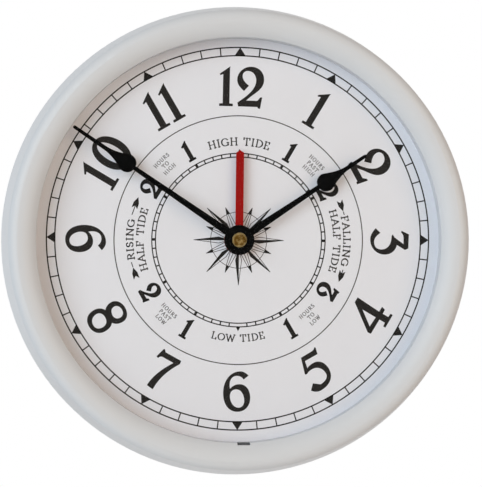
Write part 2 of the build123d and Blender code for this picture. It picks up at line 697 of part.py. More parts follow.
# Hour wheel, one moulding with its pipe and the 57-tooth wheel that drives the tide work
with BuildPart() as hour_wheel:
    with BuildSketch(facing(level(3) - WHEEL_THICKNESS / 2)):
        Circle(hour_pipe_radius)
    extrude(amount=hour_pipe_front - level(3) + WHEEL_THICKNESS / 2)
    with BuildSketch(facing(level(3) - WHEEL_THICKNESS / 2)):
        add(gear_outline(HOUR_TEETH, MOTION_MODULE, hour_turn))
    extrude(amount=WHEEL_THICKNESS)
    with BuildSketch(facing(level(4) - WHEEL_THICKNESS / 2)):
        add(gear_outline(TIDE_DRIVE_TEETH, TIDE_MODULE))
    extrude(amount=WHEEL_THICKNESS)
    with BuildSketch(facing(level(3) - WHEEL_THICKNESS / 2)):
        Circle(hour_bore)
    extrude(amount=hour_pipe_front - level(3) + WHEEL_THICKNESS / 2, mode=Mode.SUBTRACT)

# Tide work: two-rimmed idler, then the 59-tooth wheel and its pipe
tide_idler = arbor_wheel(
    idler_axis,
    (
        (gear_outline(TIDE_IDLER_TEETH, TIDE_MODULE, idler_turn), level(4), PINION_THICKNESS),
        (gear_outline(TIDE_IDLER_TEETH, tide_wheel_module, idler_turn), level(5), PINION_THICKNESS),
    ),
)

with BuildPart() as tide_wheel:
    with BuildSketch(facing(level(5) - WHEEL_THICKNESS / 2)):
        Circle(tide_pipe_radius)
    extrude(amount=tide_pipe_front - level(5) + WHEEL_THICKNESS / 2)
    with BuildSketch(facing(level(5) - WHEEL_THICKNESS / 2)):
        add(gear_outline(TIDE_TEETH, tide_wheel_module, tide_turn))
    extrude(amount=WHEEL_THICKNESS)
    with BuildSketch(facing(level(5) - WHEEL_THICKNESS / 2)):
        Circle(tide_bore)
    extrude(amount=tide_pipe_front - level(5) + WHEEL_THICKNESS / 2, mode=Mode.SUBTRACT)

# Going train from the motor to the centre wheel
third_wheel = arbor_wheel(
    third_axis,
    (
        (gear_outline(LEAVES, CENTRE_MODULE, third_leaf_turn), level(0), PINION_THICKNESS),
        (gear_outline(THIRD_TEETH, FAST_MODULE), level(1), WHEEL_THICKNESS),
    ),
)
seconds_wheel = arbor_wheel(
    seconds_axis,
    (
        (gear_outline(LEAVES, FAST_MODULE, seconds_leaf_turn), level(1), PINION_THICKNESS),
        (gear_outline(SECONDS_TEETH, SECONDS_MODULE), level(2), WHEEL_THICKNESS),
    ),
)
intermediate_wheel = arbor_wheel(
    intermediate_axis,
    (
        (gear_outline(LEAVES, SECONDS_MODULE, intermediate_leaf_turn), level(2), PINION_THICKNESS),
        (gear_outline(INTERMEDIATE_TEETH, FAST_MODULE), level(3), WHEEL_THICKNESS),
    ),
)
rotor_pinion = arbor_wheel(
    rotor_axis,
    ((gear_outline(LEAVES, FAST_MODULE, rotor_leaf_turn), level(3), PINION_THICKNESS),),
)

# Rotor magnet inside the hole of the stator
stator_middle = gear_floor + STATOR_HEIGHT + STATOR_THICKNESS / 2
with BuildPart() as rotor_magnet:
    with BuildSketch(facing(stator_middle - MAGNET_THICKNESS / 2, rotor_axis)):
        Circle(MAGNET_RADIUS)
        Circle(ARBOR_RADIUS + HAND_SLACK, mode=Mode.SUBTRACT)
    extrude(amount=MAGNET_THICKNESS)

# Stator plate: a broad limb round the rotor and two lugs that carry the coil core
limb_half_width = stator_hole + STATOR_RIM
limb_middle = (STATOR_TOP + STATOR_BOTTOM) / 2
lug_left = COIL_POSITION - CORE_WIDTH / 2
lug_right = rotor_axis[0]
with BuildPart() as stator:
    with BuildSketch(facing(gear_floor + STATOR_HEIGHT)):
        with Locations((rotor_axis[0], limb_middle)):
            Rectangle(2 * limb_half_width, STATOR_TOP - STATOR_BOTTOM)
        for lug_middle in (STATOR_BOTTOM + STATOR_LUG / 2, STATOR_TOP - STATOR_LUG / 2):
            with Locations(((lug_left + lug_right) / 2, lug_middle)):
                Rectangle(lug_right - lug_left, STATOR_LUG)
        with Locations(rotor_axis):
            Circle(stator_hole, mode=Mode.SUBTRACT)
    extrude(amount=STATOR_THICKNESS)

# Coil: core on the stator lugs, bobbin round the core, winding round the bobbin
core_back = gear_floor + STATOR_HEIGHT + STATOR_THICKNESS
core_middle = core_back + CORE_THICKNESS / 2
bobbin_bottom = STATOR_BOTTOM + STATOR_LUG + BOBBIN_CLEARANCE
bobbin_top = STATOR_TOP - STATOR_LUG - BOBBIN_CLEARANCE
bobbin_bore_width = CORE_WIDTH + 2 * BOBBIN_SLACK
bobbin_bore_depth = CORE_THICKNESS + 2 * BOBBIN_SLACK
barrel_width = bobbin_bore_width + 2 * BOBBIN_WALL
barrel_depth = bobbin_bore_depth + 2 * BOBBIN_WALL


def across_coil(z):
    """Plane across the coil at one height up the dial."""
    return Plane(origin=(COIL_POSITION, -core_middle, z), x_dir=(1, 0, 0), z_dir=(0, 0, 1))


with BuildPart() as coil_core:
    with BuildSketch(across_coil(STATOR_BOTTOM)):
        Rectangle(CORE_WIDTH, CORE_THICKNESS)
    extrude(amount=STATOR_TOP - STATOR_BOTTOM)

with BuildPart() as coil_bobbin:
    with BuildSketch(across_coil(bobbin_bottom)):
        Rectangle(barrel_width, barrel_depth)
    extrude(amount=bobbin_top - bobbin_bottom)
    for flange_bottom in (bobbin_bottom, bobbin_top - BOBBIN_FLANGE):
        with BuildSketch(across_coil(flange_bottom)):
            Rectangle(FLANGE_WIDTH, FLANGE_DEPTH)
        extrude(amount=BOBBIN_FLANGE)
    with BuildSketch(across_coil(bobbin_bottom)):
        Rectangle(bobbin_bore_width, bobbin_bore_depth)
    extrude(amount=bobbin_top - bobbin_bottom, mode=Mode.SUBTRACT)

with BuildPart() as coil_winding:
    with BuildSketch(across_coil(bobbin_bottom + BOBBIN_FLANGE)):
        RectangleRounded(FLANGE_WIDTH - 2 * WINDING_INSET, FLANGE_DEPTH - 2 * WINDING_INSET, WINDING_INSET)
        Rectangle(barrel_width, barrel_depth, mode=Mode.SUBTRACT)
    extrude(amount=bobbin_top - bobbin_bottom - 2 * BOBBIN_FLANGE)

# Circuit board on its posts, with the chip and the crystal on the rear face
board_back = gear_floor + BOARD_HEIGHT
board_middle = ((board_left + board_right) / 2, (BOARD_BOTTOM + BOARD_TOP) / 2)
with BuildPart() as circuit_board:
    with BuildSketch(facing(board_back, board_middle)):
        Rectangle(board_right - board_left, BOARD_TOP - BOARD_BOTTOM)
    extrude(amount=BOARD_THICKNESS)

with BuildPart() as timing_chip:
    with BuildSketch(facing(board_back, (board_middle[0], CHIP_POSITION))):
        Rectangle(CHIP_SIZE, CHIP_SIZE)
    extrude(amount=-CHIP_THICKNESS)

crystal_height = board_back - CRYSTAL_RADIUS - CRYSTAL_SLACK
with BuildPart() as quartz_crystal:
    with BuildSketch(
        Plane(origin=(board_middle[0], -crystal_height, CRYSTAL_POSITION), x_dir=(1, 0, 0), z_dir=(0, 0, 1))
    ):
        Circle(CRYSTAL_RADIUS)
    extrude(amount=CRYSTAL_LENGTH)

# Cell, lying across the bay with its positive end to the right
cell_left = -(CELL_BODY + CELL_NUB) / 2
cell_shoulder = cell_left + CELL_BODY
cell_right = cell_shoulder + CELL_NUB
CELL_AXIS = Plane(origin=(cell_left, -cell_height, cell_axis), x_dir=(0, 1, 0), z_dir=(1, 0, 0))
with BuildPart() as battery_cell:
    with BuildSketch(CELL_AXIS):
        Circle(CELL_RADIUS)
    extrude(amount=CELL_BODY)
    chamfer(battery_cell.edges().filter_by(GeomType.CIRCLE), CELL_EDGE)
    with BuildSketch(CELL_AXIS.offset(CELL_BODY)):
        Circle(CELL_NUB_RADIUS)
    extrude(amount=CELL_NUB)

# Contact strips: a foot in the bay, a riser through the divider and a tab under the board
tab_top = gears_bottom + STRIP_THICKNESS + TAB_LENGTH
strip_back = board_back - STRIP_WIDTH
strip_run = gears_bottom + LATCH_SLACK
with BuildPart() as contact_positive:
    with BuildSketch(facing(cell_height - CONTACT_HEIGHT / 2, (inner_half_width, cell_axis))):
        Rectangle(2 * STRIP_THICKNESS, CONTACT_HEIGHT)
    extrude(amount=CONTACT_HEIGHT)
    with BuildSketch(Plane(origin=(cell_right + CONTACT_GAP, -cell_height, cell_axis), z_dir=(1, 0, 0))):
        Circle(CELL_NUB_RADIUS)
    extrude(amount=inner_half_width - STRIP_THICKNESS / 2 - cell_right - CONTACT_GAP)
    with BuildSketch(facing(strip_back, (inner_half_width, (cell_axis + tab_top) / 2))):
        Rectangle(2 * STRIP_THICKNESS, tab_top - cell_axis)
    extrude(amount=STRIP_WIDTH)
    with BuildSketch(facing(board_back, (inner_half_width, tab_top - TAB_LENGTH / 2))):
        Rectangle(2 * TAB_LENGTH, TAB_LENGTH)
    extrude(amount=-STRIP_THICKNESS)
    with BuildSketch(facing(0, (inner_half_width + movement_width / 2, 0))):
        Rectangle(movement_width, 2 * movement_width)
    extrude(amount=movement_front, mode=Mode.SUBTRACT)

leaf_crest = cell_left - CONTACT_GAP
leaf_half = CONTACT_HEIGHT / 2
strip_end = board_left + TAB_LENGTH
riser_middle = (-inner_half_width + STRIP_THICKNESS / 2, (cell_axis + strip_run) / 2)
run_middle = ((strip_end - inner_half_width) / 2, strip_run + STRIP_THICKNESS / 2)
with BuildPart() as contact_negative:
    with BuildSketch(Plane(origin=(0, 0, cell_axis - leaf_half), x_dir=(1, 0, 0), z_dir=(0, 0, -1))):
        with BuildLine():
            Polyline(
                (-inner_half_width, cell_height + leaf_half),
                (leaf_crest, cell_height),
                (-inner_half_width + STRIP_THICKNESS, cell_height - leaf_half),
                (-inner_half_width, cell_height - leaf_half),
                (leaf_crest - STRIP_THICKNESS, cell_height),
                (-inner_half_width, cell_height + leaf_half - 2 * STRIP_THICKNESS),
                close=True,
            )
        make_face()
    extrude(amount=-CONTACT_HEIGHT)
    with BuildSketch(facing(strip_back, riser_middle)):
        Rectangle(STRIP_THICKNESS, strip_run - cell_axis)
    extrude(amount=STRIP_WIDTH)
    with BuildSketch(facing(strip_back, run_middle)):
        Rectangle(strip_end + inner_half_width, STRIP_THICKNESS)
    extrude(amount=STRIP_WIDTH)
    with BuildSketch(facing(board_back, (strip_end - TAB_LENGTH / 2, strip_run + TAB_LENGTH / 2))):
        Rectangle(TAB_LENGTH, TAB_LENGTH)
    extrude(amount=-STRIP_THICKNESS)

# Hands, in the order they stack
with BuildPart() as tide_hand:
    with BuildSketch(facing(tide_hand_back, turn=SHOWN_TIDE)):
        with BuildLine():
            Polyline(
                (-TIDE_WIDTH / 2, 0),
                (TIDE_WIDTH / 2, 0),
                (TIDE_WIDTH / 2, TIDE_LENGTH - TIDE_POINT),
                (0, TIDE_LENGTH),
                (-TIDE_WIDTH / 2, TIDE_LENGTH - TIDE_POINT),
                close=True,
            )
        make_face()
        Circle(HUB_RADIUS)
        Circle(COLLET_RADIUS + HAND_SLACK, mode=Mode.SUBTRACT)
    extrude(amount=HAND_THICKNESS)

with BuildPart() as tide_collet:
    with BuildSketch(facing(tide_hand_back)):
        Circle(COLLET_FLANGE)
    extrude(amount=-COLLET_FLANGE_THICKNESS)
    with BuildSketch(facing(tide_hand_back)):
        Circle(COLLET_RADIUS)
    extrude(amount=HAND_THICKNESS)
    with BuildSketch(facing(tide_hand_back - COLLET_FLANGE_THICKNESS)):
        Circle(tide_pipe_radius + HAND_SLACK)
    extrude(amount=HAND_THICKNESS + COLLET_FLANGE_THICKNESS, mode=Mode.SUBTRACT)

with BuildPart() as hour_hand:
    with BuildSketch(facing(hour_hand_back, turn=hour_angle)):
        add(spade_outline(HOUR_LENGTH, HOUR_ROOT, HOUR_SHAFT, HOUR_SPADE_BASE, HOUR_NECK, HOUR_NECK_WIDTH))
        Circle(hour_pipe_radius + HAND_SLACK, mode=Mode.SUBTRACT)
    extrude(amount=HAND_THICKNESS)

with BuildPart() as minute_hand:
    with BuildSketch(facing(minute_hand_back, turn=minute_angle)):
        add(
            spade_outline(
                minute_length, MINUTE_ROOT, MINUTE_SHAFT, minute_length - MINUTE_SPADE,
                minute_length - MINUTE_POINT, MINUTE_NECK_WIDTH
            )
        )
        Circle(MINUTE_TIP_RADIUS + HAND_SLACK, mode=Mode.SUBTRACT)
    extrude(amount=HAND_THICKNESS)

# Round cap nut with a bevelled edge and a dished face
with BuildPart() as cap_nut:
    with BuildSketch(facing(minute_hand_front)):
        Circle(CAP_NUT_RADIUS)
    extrude(amount=CAP_NUT_HEIGHT)
    chamfer(cap_nut.faces().sort_by(Axis.Y)[0].edges(), CAP_NUT_BEVEL)
    with BuildSketch(facing(cap_nut_front)):
        Circle(CAP_NUT_RADIUS - 2 * CAP_NUT_BEVEL)
    extrude(amount=-CAP_NUT_DISH, mode=Mode.SUBTRACT)
    with BuildSketch(facing(minute_hand_front)):
        Circle(MINUTE_TIP_RADIUS + HAND_SLACK)
    extrude(amount=tip_front - minute_hand_front, mode=Mode.SUBTRACT)

pieces = {
    "case_rim": case_rim,
    "lens": lens,
    "dial": dial,
    "back_plate": back_plate,
    "plate_screws": plate_screws,
    "movement_housing": movement_housing,
    "movement_cover": movement_cover,
    "shaft_bush": shaft_bush,
    "hanger": hanger,
    "rubber_washer": rubber_washer,
    "dial_washer": dial_washer,
    "dial_nut": dial_nut,
    "minute_arbor": minute_arbor,
    "clutch_washer": clutch_washer,
    "centre_wheel": centre_wheel,
    "motion_wheel": motion_wheel,
    "set_knob": set_knob,
    "hour_wheel": hour_wheel,
    "tide_idler": tide_idler,
    "tide_wheel": tide_wheel,
    "third_wheel": third_wheel,
    "seconds_wheel": seconds_wheel,
    "intermediate_wheel": intermediate_wheel,
    "rotor_pinion": rotor_pinion,
    "rotor_magnet": rotor_magnet,
    "stator": stator,
    "coil_core": coil_core,
    "coil_bobbin": coil_bobbin,
    "coil_winding": coil_winding,
    "circuit_board": circuit_board,
    "timing_chip": timing_chip,
    "quartz_crystal": quartz_crystal,
    "battery_cell": battery_cell,
    "contact_positive": contact_positive,
    "contact_negative": contact_negative,
    "tide_hand": tide_hand,
    "tide_collet": tide_collet,
    "hour_hand": hour_hand,
    "minute_hand": minute_hand,
    "cap_nut": cap_nut,
}
os.makedirs("parts", exist_ok=True)
for name, piece in pieces.items():
    piece.part.label = name
    export_step(piece.part, "parts/" + name + ".step")
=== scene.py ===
import json
from math import cos, degrees, radians, sin

import bpy
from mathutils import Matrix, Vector
from mathutils.geometry import tessellate_polygon


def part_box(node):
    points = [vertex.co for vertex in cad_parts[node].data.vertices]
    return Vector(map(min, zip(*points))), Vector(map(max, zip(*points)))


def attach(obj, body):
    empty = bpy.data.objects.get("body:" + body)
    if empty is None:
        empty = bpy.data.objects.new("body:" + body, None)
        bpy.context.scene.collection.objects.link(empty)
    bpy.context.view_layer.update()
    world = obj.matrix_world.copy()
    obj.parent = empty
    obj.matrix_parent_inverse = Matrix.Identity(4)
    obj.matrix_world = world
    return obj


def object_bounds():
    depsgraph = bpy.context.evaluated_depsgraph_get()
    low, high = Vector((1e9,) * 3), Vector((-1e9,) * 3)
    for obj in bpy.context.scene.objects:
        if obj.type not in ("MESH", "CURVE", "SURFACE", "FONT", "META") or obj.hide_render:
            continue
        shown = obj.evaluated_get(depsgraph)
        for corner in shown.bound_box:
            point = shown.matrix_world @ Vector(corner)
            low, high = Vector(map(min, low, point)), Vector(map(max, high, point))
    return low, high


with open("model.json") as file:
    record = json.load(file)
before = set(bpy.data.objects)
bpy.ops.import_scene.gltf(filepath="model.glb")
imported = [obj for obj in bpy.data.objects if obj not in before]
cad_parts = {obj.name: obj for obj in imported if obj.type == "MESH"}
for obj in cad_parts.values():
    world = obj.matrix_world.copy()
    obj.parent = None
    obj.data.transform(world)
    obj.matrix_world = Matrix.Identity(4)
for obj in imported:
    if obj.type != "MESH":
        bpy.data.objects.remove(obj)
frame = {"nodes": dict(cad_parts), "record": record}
cad_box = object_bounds()
nodes = frame["nodes"]

# Dial sizes are in millimetres, measured from the hand axis. Angles go clockwise from twelve.
MM = 0.001

# Camera: the photograph's frame, its scale at the dial and where the dial's centre falls in it
IMAGE_WIDTH = 482
IMAGE_HEIGHT = 487
DIAL_CENTRE_PIXEL = (238.7, 240.1)
MM_PER_PIXEL = 0.4945
CAMERA_DISTANCE = 750.0
CAMERA_AZIMUTH = -3.0
CAMERA_ELEVATION = -0.4
CAMERA_NEAR = 10.0
SENSOR_HEIGHT = 24.0

# Minute track and plain rings. The print sits turned a little on the dial, its outer part a little high.
PRINT_TURN = 0.45
TRACK_RISE = 0.75
TRACK_OUTER = 94.6
TRACK_INNER = 90.5
TRACK_LINE = 0.65
TRACK_TICK = 0.6
HOUR_MARK_BASE = 5.4
HOUR_RING = 61.5
HOUR_RING_LINE = 0.5
RING_STEPS = 240

# Tide ring: its cells and heavier marks are counted in degrees
TIDE_OUTER = 42.9
TIDE_INNER = 41.1
TIDE_LINE = 0.55
TIDE_CELL = 6
TIDE_TICK = 0.62
TIDE_MARK = 30
TIDE_MARK_WIDTH = 1.3
TIDE_POINTER = 2.2

# Numerals. A nudge turns an hour numeral from its place, in degrees.
NUMERAL_RADIUS = 75.4
NUMERAL_HEIGHT = 19.6
NUMERAL_GAP = 0.10
NUMERAL_RISE = 0.55
NUMERAL_NUDGES = {
    1: 0.8, 2: 0.45, 3: 0.5, 4: 0.1, 5: -0.5, 6: 0.3, 7: -0.25, 8: -1.0, 9: -0.3, 10: 0.3, 11: -0.4, 12: 0.7
}
TIDE_NUMERALS = ((1, 30), (2, 60.8), (2, 119.6), (1, 149.4), (1, 210), (2, 239.1), (2, 300), (1, 329.7))
TIDE_NUMERAL_RADIUS = 50.5
TIDE_NUMERAL_HEIGHT = 10.1
TIDE_NUMERAL_WEIGHT = 0.45

# Words. Gaps, pen widths and serifs are shares of a letter's height.
HIGH_WORD_ANGLE = -0.3
HIGH_WORD_HEIGHT = 3.55
HIGH_WORD_RADIUS = 48.8
LOW_WORD_ANGLE = 180
LOW_WORD_HEIGHT = 3.25
LOW_WORD_RADIUS = 48.5
WORD_STRETCH = 1.2
SIDE_WORDS = (("FALLING", 90), ("RISING", 269.8))
SIDE_WORD_HEIGHT = 3.2
SIDE_WORD_STRETCH = 1.36
SIDE_WORD_OUTER = 53.8
SIDE_WORD_INNER = 48.8
LEGENDS = ((44.7, "PAST", "HIGH"), (135.9, "TO", "LOW"), (224.1, "PAST", "LOW"), (315.3, "TO", "HIGH"))
LEGEND_HEIGHT = 1.85
LEGEND_GAP = 0.28
LEGEND_RADIUS = 51.9
LEGEND_LEADING = 2.95
LEGEND_WEIGHT = 1.1
LETTER_GAP = 0.16
LETTER_THICK = 0.155
LETTER_THIN = 0.08
SERIF = 0.13

# Arrowheads beside the side words: angle, 1 for a dash behind the head or -1 for one before it, and the
# length of that dash
ARROWS = ((71.1, -1, 1.2), (109.1, 1, 1.5), (251.9, -1, 2.2), (289.6, 1, 4.4))
ARROW_RADIUS = 53.75
ARROW_LENGTH = 5.9
ARROW_WIDTH = 2.9
ARROW_BELLY = 2.7
ARROW_NOTCH = 1.5
ARROW_DASH_GAP = 0.3
ARROW_DASH_WIDTH = 0.45

# Compass rose
ROSE_POINTS = 16
LONG_POINT = 22.1
MINOR_POINT = 17.2
ROSE_RING = 13.9
ROSE_LINE = 0.3
ROSE_WEIGHT = 0.3
ROSE_ROOT = 4.0
POINT_WAIST = 10.0
POINT_HALF_WIDTH = 1.5
MINOR_HALF_WIDTH = 0.8
MINOR_ROOT_HALF_WIDTH = 1.9

# Print lies on the dial as thin films
FILM_LIFT = 0.02
CURVE_STEPS = 10
ARC_STEPS = 14
SAME_POINT = 1e-6

# Painted shadow in the pry notch of the lens lip: its middle, from the hand axis and from the lens's edge,
# and its half sizes
NOTCH_ACROSS = 1.8
NOTCH_INSET = 0.8
NOTCH_HALF_WIDTH = 3.1
NOTCH_HALF_HEIGHT = 0.55

# Brass, from a painted dark reflection in its middle to a painted highlight at its edge, over tarnish spots
BRASS_DARK_RADIUS = 2.5
BRASS_BRIGHT_RADIUS = 3.4
BRASS_PAINTED_HIGHLIGHT = 0.4
BRASS_TARNISH = 1.4
BRASS_SHADE = 0.46

# Where a ramp of colour leaves its dark shade and reaches its light one
PAINT_STOPS = (0.3, 0.7)

# Grain of the materials, counted in features to a metre
PLASTIC_CLOUDS = 25.0
PLASTIC_SKIN = 900.0
METAL_TARNISH = 300.0
METAL_RINGS = 1500.0
BRASS_SPOTS = 420.0
PAPER_FIBRE = 2500.0
PAPER_CLOUDS = 40.0
LENS_RIPPLE = 12.0
WIRE_TURNS = 1200.0
FLOOR_CLOUDS = 2.0

# Floor
FLOOR_DROP = 900.0
FLOOR_RADIUS = 4000.0
FLOOR_STEPS = 128
FLOOR_GREY = (0.81, 0.81, 0.81)
FLOOR_GLOW = 0.36


# Shader nodes
def make_material(name):
    """New material with its node tree, its shader and object coordinates to paint by."""
    material = bpy.data.materials.new(name)
    material.use_nodes = True
    tree = material.node_tree
    shader = tree.nodes["Principled BSDF"]
    coordinates = tree.nodes.new("ShaderNodeTexCoord").outputs["Object"]
    return material, tree, shader, coordinates


def add_noise(tree, coordinates, scale, detail=3.0):
    """Noise texture in object space. The scale counts features in a metre."""
    noise = tree.nodes.new("ShaderNodeTexNoise")
    noise.inputs["Scale"].default_value = scale
    noise.inputs["Detail"].default_value = detail
    tree.links.new(coordinates, noise.inputs["Vector"])
    return noise.outputs["Fac"]


def add_math(tree, operation, *values):
    """Arithmetic on values that are numbers or come from other nodes."""
    node = tree.nodes.new("ShaderNodeMath")
    node.operation = operation
    for value, socket in zip(values, node.inputs):
        if isinstance(value, float):
            socket.default_value = value
        else:
            tree.links.new(value, socket)
    return node.outputs["Value"]


def add_vector_math(tree, operation, vector, value=(0, 0, 0)):
    """Outputs of arithmetic on a vector and, where the operation takes one, a fixed second vector."""
    node = tree.nodes.new("ShaderNodeVectorMath")
    node.operation = operation
    node.inputs[1].default_value = value
    tree.links.new(vector, node.inputs[0])
    return node.outputs


def add_range(tree, value, low, high, start=0.0, end=1.0):
    """Value that goes from low to high as another goes from start to end."""
    spread = tree.nodes.new("ShaderNodeMapRange")
    spread.inputs["From Min"].default_value = start
    spread.inputs["From Max"].default_value = end
    spread.inputs["To Min"].default_value = low
    spread.inputs["To Max"].default_value = high
    tree.links.new(value, spread.inputs["Value"])
    return spread.outputs["Result"]


def paint_between(tree, shader, factor, dark, light):
    """Base colour that wanders between two shades."""
    ramp = tree.nodes.new("ShaderNodeValToRGB")
    for element, position, colour in zip(ramp.color_ramp.elements, PAINT_STOPS, (dark, light)):
        element.position = position
        element.color = (*colour, 1)
    tree.links.new(factor, ramp.inputs["Fac"])
    tree.links.new(ramp.outputs["Color"], shader.inputs["Base Color"])


def vary_roughness(tree, shader, factor, low, high):
    """Roughness that wanders between two values."""
    tree.links.new(add_range(tree, factor, low, high), shader.inputs["Roughness"])


def add_bump(tree, shader, height, strength, depth):
    """Fine relief. The depth is in millimetres."""
    bump = tree.nodes.new("ShaderNodeBump")
    bump.inputs["Strength"].default_value = strength
    bump.inputs["Distance"].default_value = depth * MM
    tree.links.new(height, bump.inputs["Height"])
    tree.links.new(bump.outputs["Normal"], shader.inputs["Normal"])


def shades(colour, spread):
    """Darker and lighter neighbour of a colour."""
    dark = tuple(channel * (1 - spread) for channel in colour)
    light = tuple(min(1.0, channel * (1 + spread)) for channel in colour)
    return dark, light


# Materials
def make_plastic(name, colour, roughness, spread=0.02, relief=0.02, gloss=0.5):
    """Moulded plastic, rubber or paint: faint cloudiness and a fine skin."""
    material, tree, shader, coordinates = make_material(name)
    shader.inputs["Specular IOR Level"].default_value = gloss
    clouds = add_noise(tree, coordinates, PLASTIC_CLOUDS)
    skin = add_noise(tree, coordinates, PLASTIC_SKIN, detail=2.0)
    paint_between(tree, shader, clouds, *shades(colour, spread))
    vary_roughness(tree, shader, clouds, low=roughness - 0.05, high=roughness + 0.05)
    add_bump(tree, shader, skin, strength=0.3, depth=relief)
    return material


def make_metal(name, colour, roughness, spread=0.12):
    """Metal with turning rings about the hand axis and a slight tarnish."""
    material, tree, shader, coordinates = make_material(name)
    shader.inputs["Metallic"].default_value = 1.0
    tarnish = add_noise(tree, coordinates, METAL_TARNISH)
    turning = tree.nodes.new("ShaderNodeTexWave")
    turning.wave_type = "RINGS"
    turning.rings_direction = "Y"
    turning.inputs["Scale"].default_value = METAL_RINGS
    turning.inputs["Distortion"].default_value = 1.5
    tree.links.new(coordinates, turning.inputs["Vector"])
    paint_between(tree, shader, tarnish, *shades(colour, spread))
    vary_roughness(tree, shader, tarnish, low=roughness - 0.06, high=roughness + 0.08)
    add_bump(tree, shader, turning.outputs["Fac"], strength=0.25, depth=0.01)
    return material


def make_brass(name, tarnished_and_shaded, bright):
    """Brass about the hand axis with a painted dark reflection in its middle, a painted highlight round its
    edge and tarnish spots.
    """
    material, tree, shader, coordinates = make_material(name)
    shader.inputs["Metallic"].default_value = 1.0
    across = add_vector_math(tree, "MULTIPLY", coordinates, (1, 0, 1))["Vector"]
    radius = add_vector_math(tree, "LENGTH", across)["Value"]
    # Painted light: darker in the middle as a painted dark reflection, lighter at the edge as a painted
    # highlight
    edge = add_range(
        tree, radius, -BRASS_SHADE, BRASS_PAINTED_HIGHLIGHT - BRASS_SHADE, BRASS_DARK_RADIUS * MM, BRASS_BRIGHT_RADIUS * MM
    )
    tarnish = add_noise(tree, coordinates, BRASS_SPOTS)
    tarnish_and_painted_sheen = add_math(tree, "MULTIPLY_ADD", tarnish, BRASS_TARNISH, edge)
    paint_between(tree, shader, tarnish_and_painted_sheen, tarnished_and_shaded, bright)
    vary_roughness(tree, shader, tarnish, low=0.22, high=0.36)
    add_bump(tree, shader, tarnish, strength=0.2, depth=0.02)
    return material


def make_paper(name, colour):
    """Matt printed card with a soft fibre."""
    material, tree, shader, coordinates = make_material(name)
    shader.inputs["Specular IOR Level"].default_value = 0.25
    fibre = add_noise(tree, coordinates, PAPER_FIBRE, detail=4.0)
    clouds = add_noise(tree, coordinates, PAPER_CLOUDS)
    paint_between(tree, shader, clouds, *shades(colour, spread=0.008))
    vary_roughness(tree, shader, fibre, low=0.55, high=0.7)
    add_bump(tree, shader, fibre, strength=0.2, depth=0.01)
    return material


def notch_dirt(tree, coordinates):
    """One behind the pry notch, where the lens shows its dark colour as a painted shadow, and nought
    elsewhere.
    """
    lens_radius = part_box("lens")[1].x
    middle = (NOTCH_ACROSS * MM, 0, NOTCH_INSET * MM - lens_radius)
    half_size = (NOTCH_HALF_WIDTH * MM, 1, NOTCH_HALF_HEIGHT * MM)
    offset = add_vector_math(tree, "SUBTRACT", coordinates, middle)["Vector"]
    share = add_vector_math(tree, "DIVIDE", offset, half_size)["Vector"]
    parts = tree.nodes.new("ShaderNodeSeparateXYZ")
    tree.links.new(add_vector_math(tree, "ABSOLUTE", share)["Vector"], parts.inputs["Vector"])
    farther = add_math(tree, "MAXIMUM", parts.outputs["X"], parts.outputs["Z"])
    return add_math(tree, "LESS_THAN", farther, 1.0)


def make_clear(name, dark, light, face_on, edge_on):
    """Clear moulded lens, all but unseen face on and glossier at a glancing angle, and opaque behind the pry
    notch as a painted shadow.
    """
    material, tree, shader, coordinates = make_material(name)
    ripple = add_noise(tree, coordinates, LENS_RIPPLE)
    paint_between(tree, shader, ripple, dark, light)
    vary_roughness(tree, shader, ripple, low=0.04, high=0.08)
    glance = tree.nodes.new("ShaderNodeLayerWeight")
    glance.inputs["Blend"].default_value = 0.2
    opacity = add_range(tree, glance.outputs["Facing"], face_on, edge_on)
    # Behind the pry notch the lens turns opaque and dark: a painted shadow
    opacity_and_painted_shade = add_math(tree, "MAXIMUM", opacity, notch_dirt(tree, coordinates))
    tree.links.new(opacity_and_painted_shade, shader.inputs["Alpha"])
    return material


def make_winding(name, colour):
    """Enamelled copper wire, wound in close turns along Z."""
    material, tree, shader, coordinates = make_material(name)
    shader.inputs["Metallic"].default_value = 0.8
    turns = tree.nodes.new("ShaderNodeTexWave")
    turns.bands_direction = "Z"
    turns.inputs["Scale"].default_value = WIRE_TURNS
    tree.links.new(coordinates, turns.inputs["Vector"])
    paint_between(tree, shader, turns.outputs["Fac"], *shades(colour, spread=0.3))
    vary_roughness(tree, shader, turns.outputs["Fac"], low=0.3, high=0.45)
    add_bump(tree, shader, turns.outputs["Fac"], strength=0.6, depth=0.05)
    return material


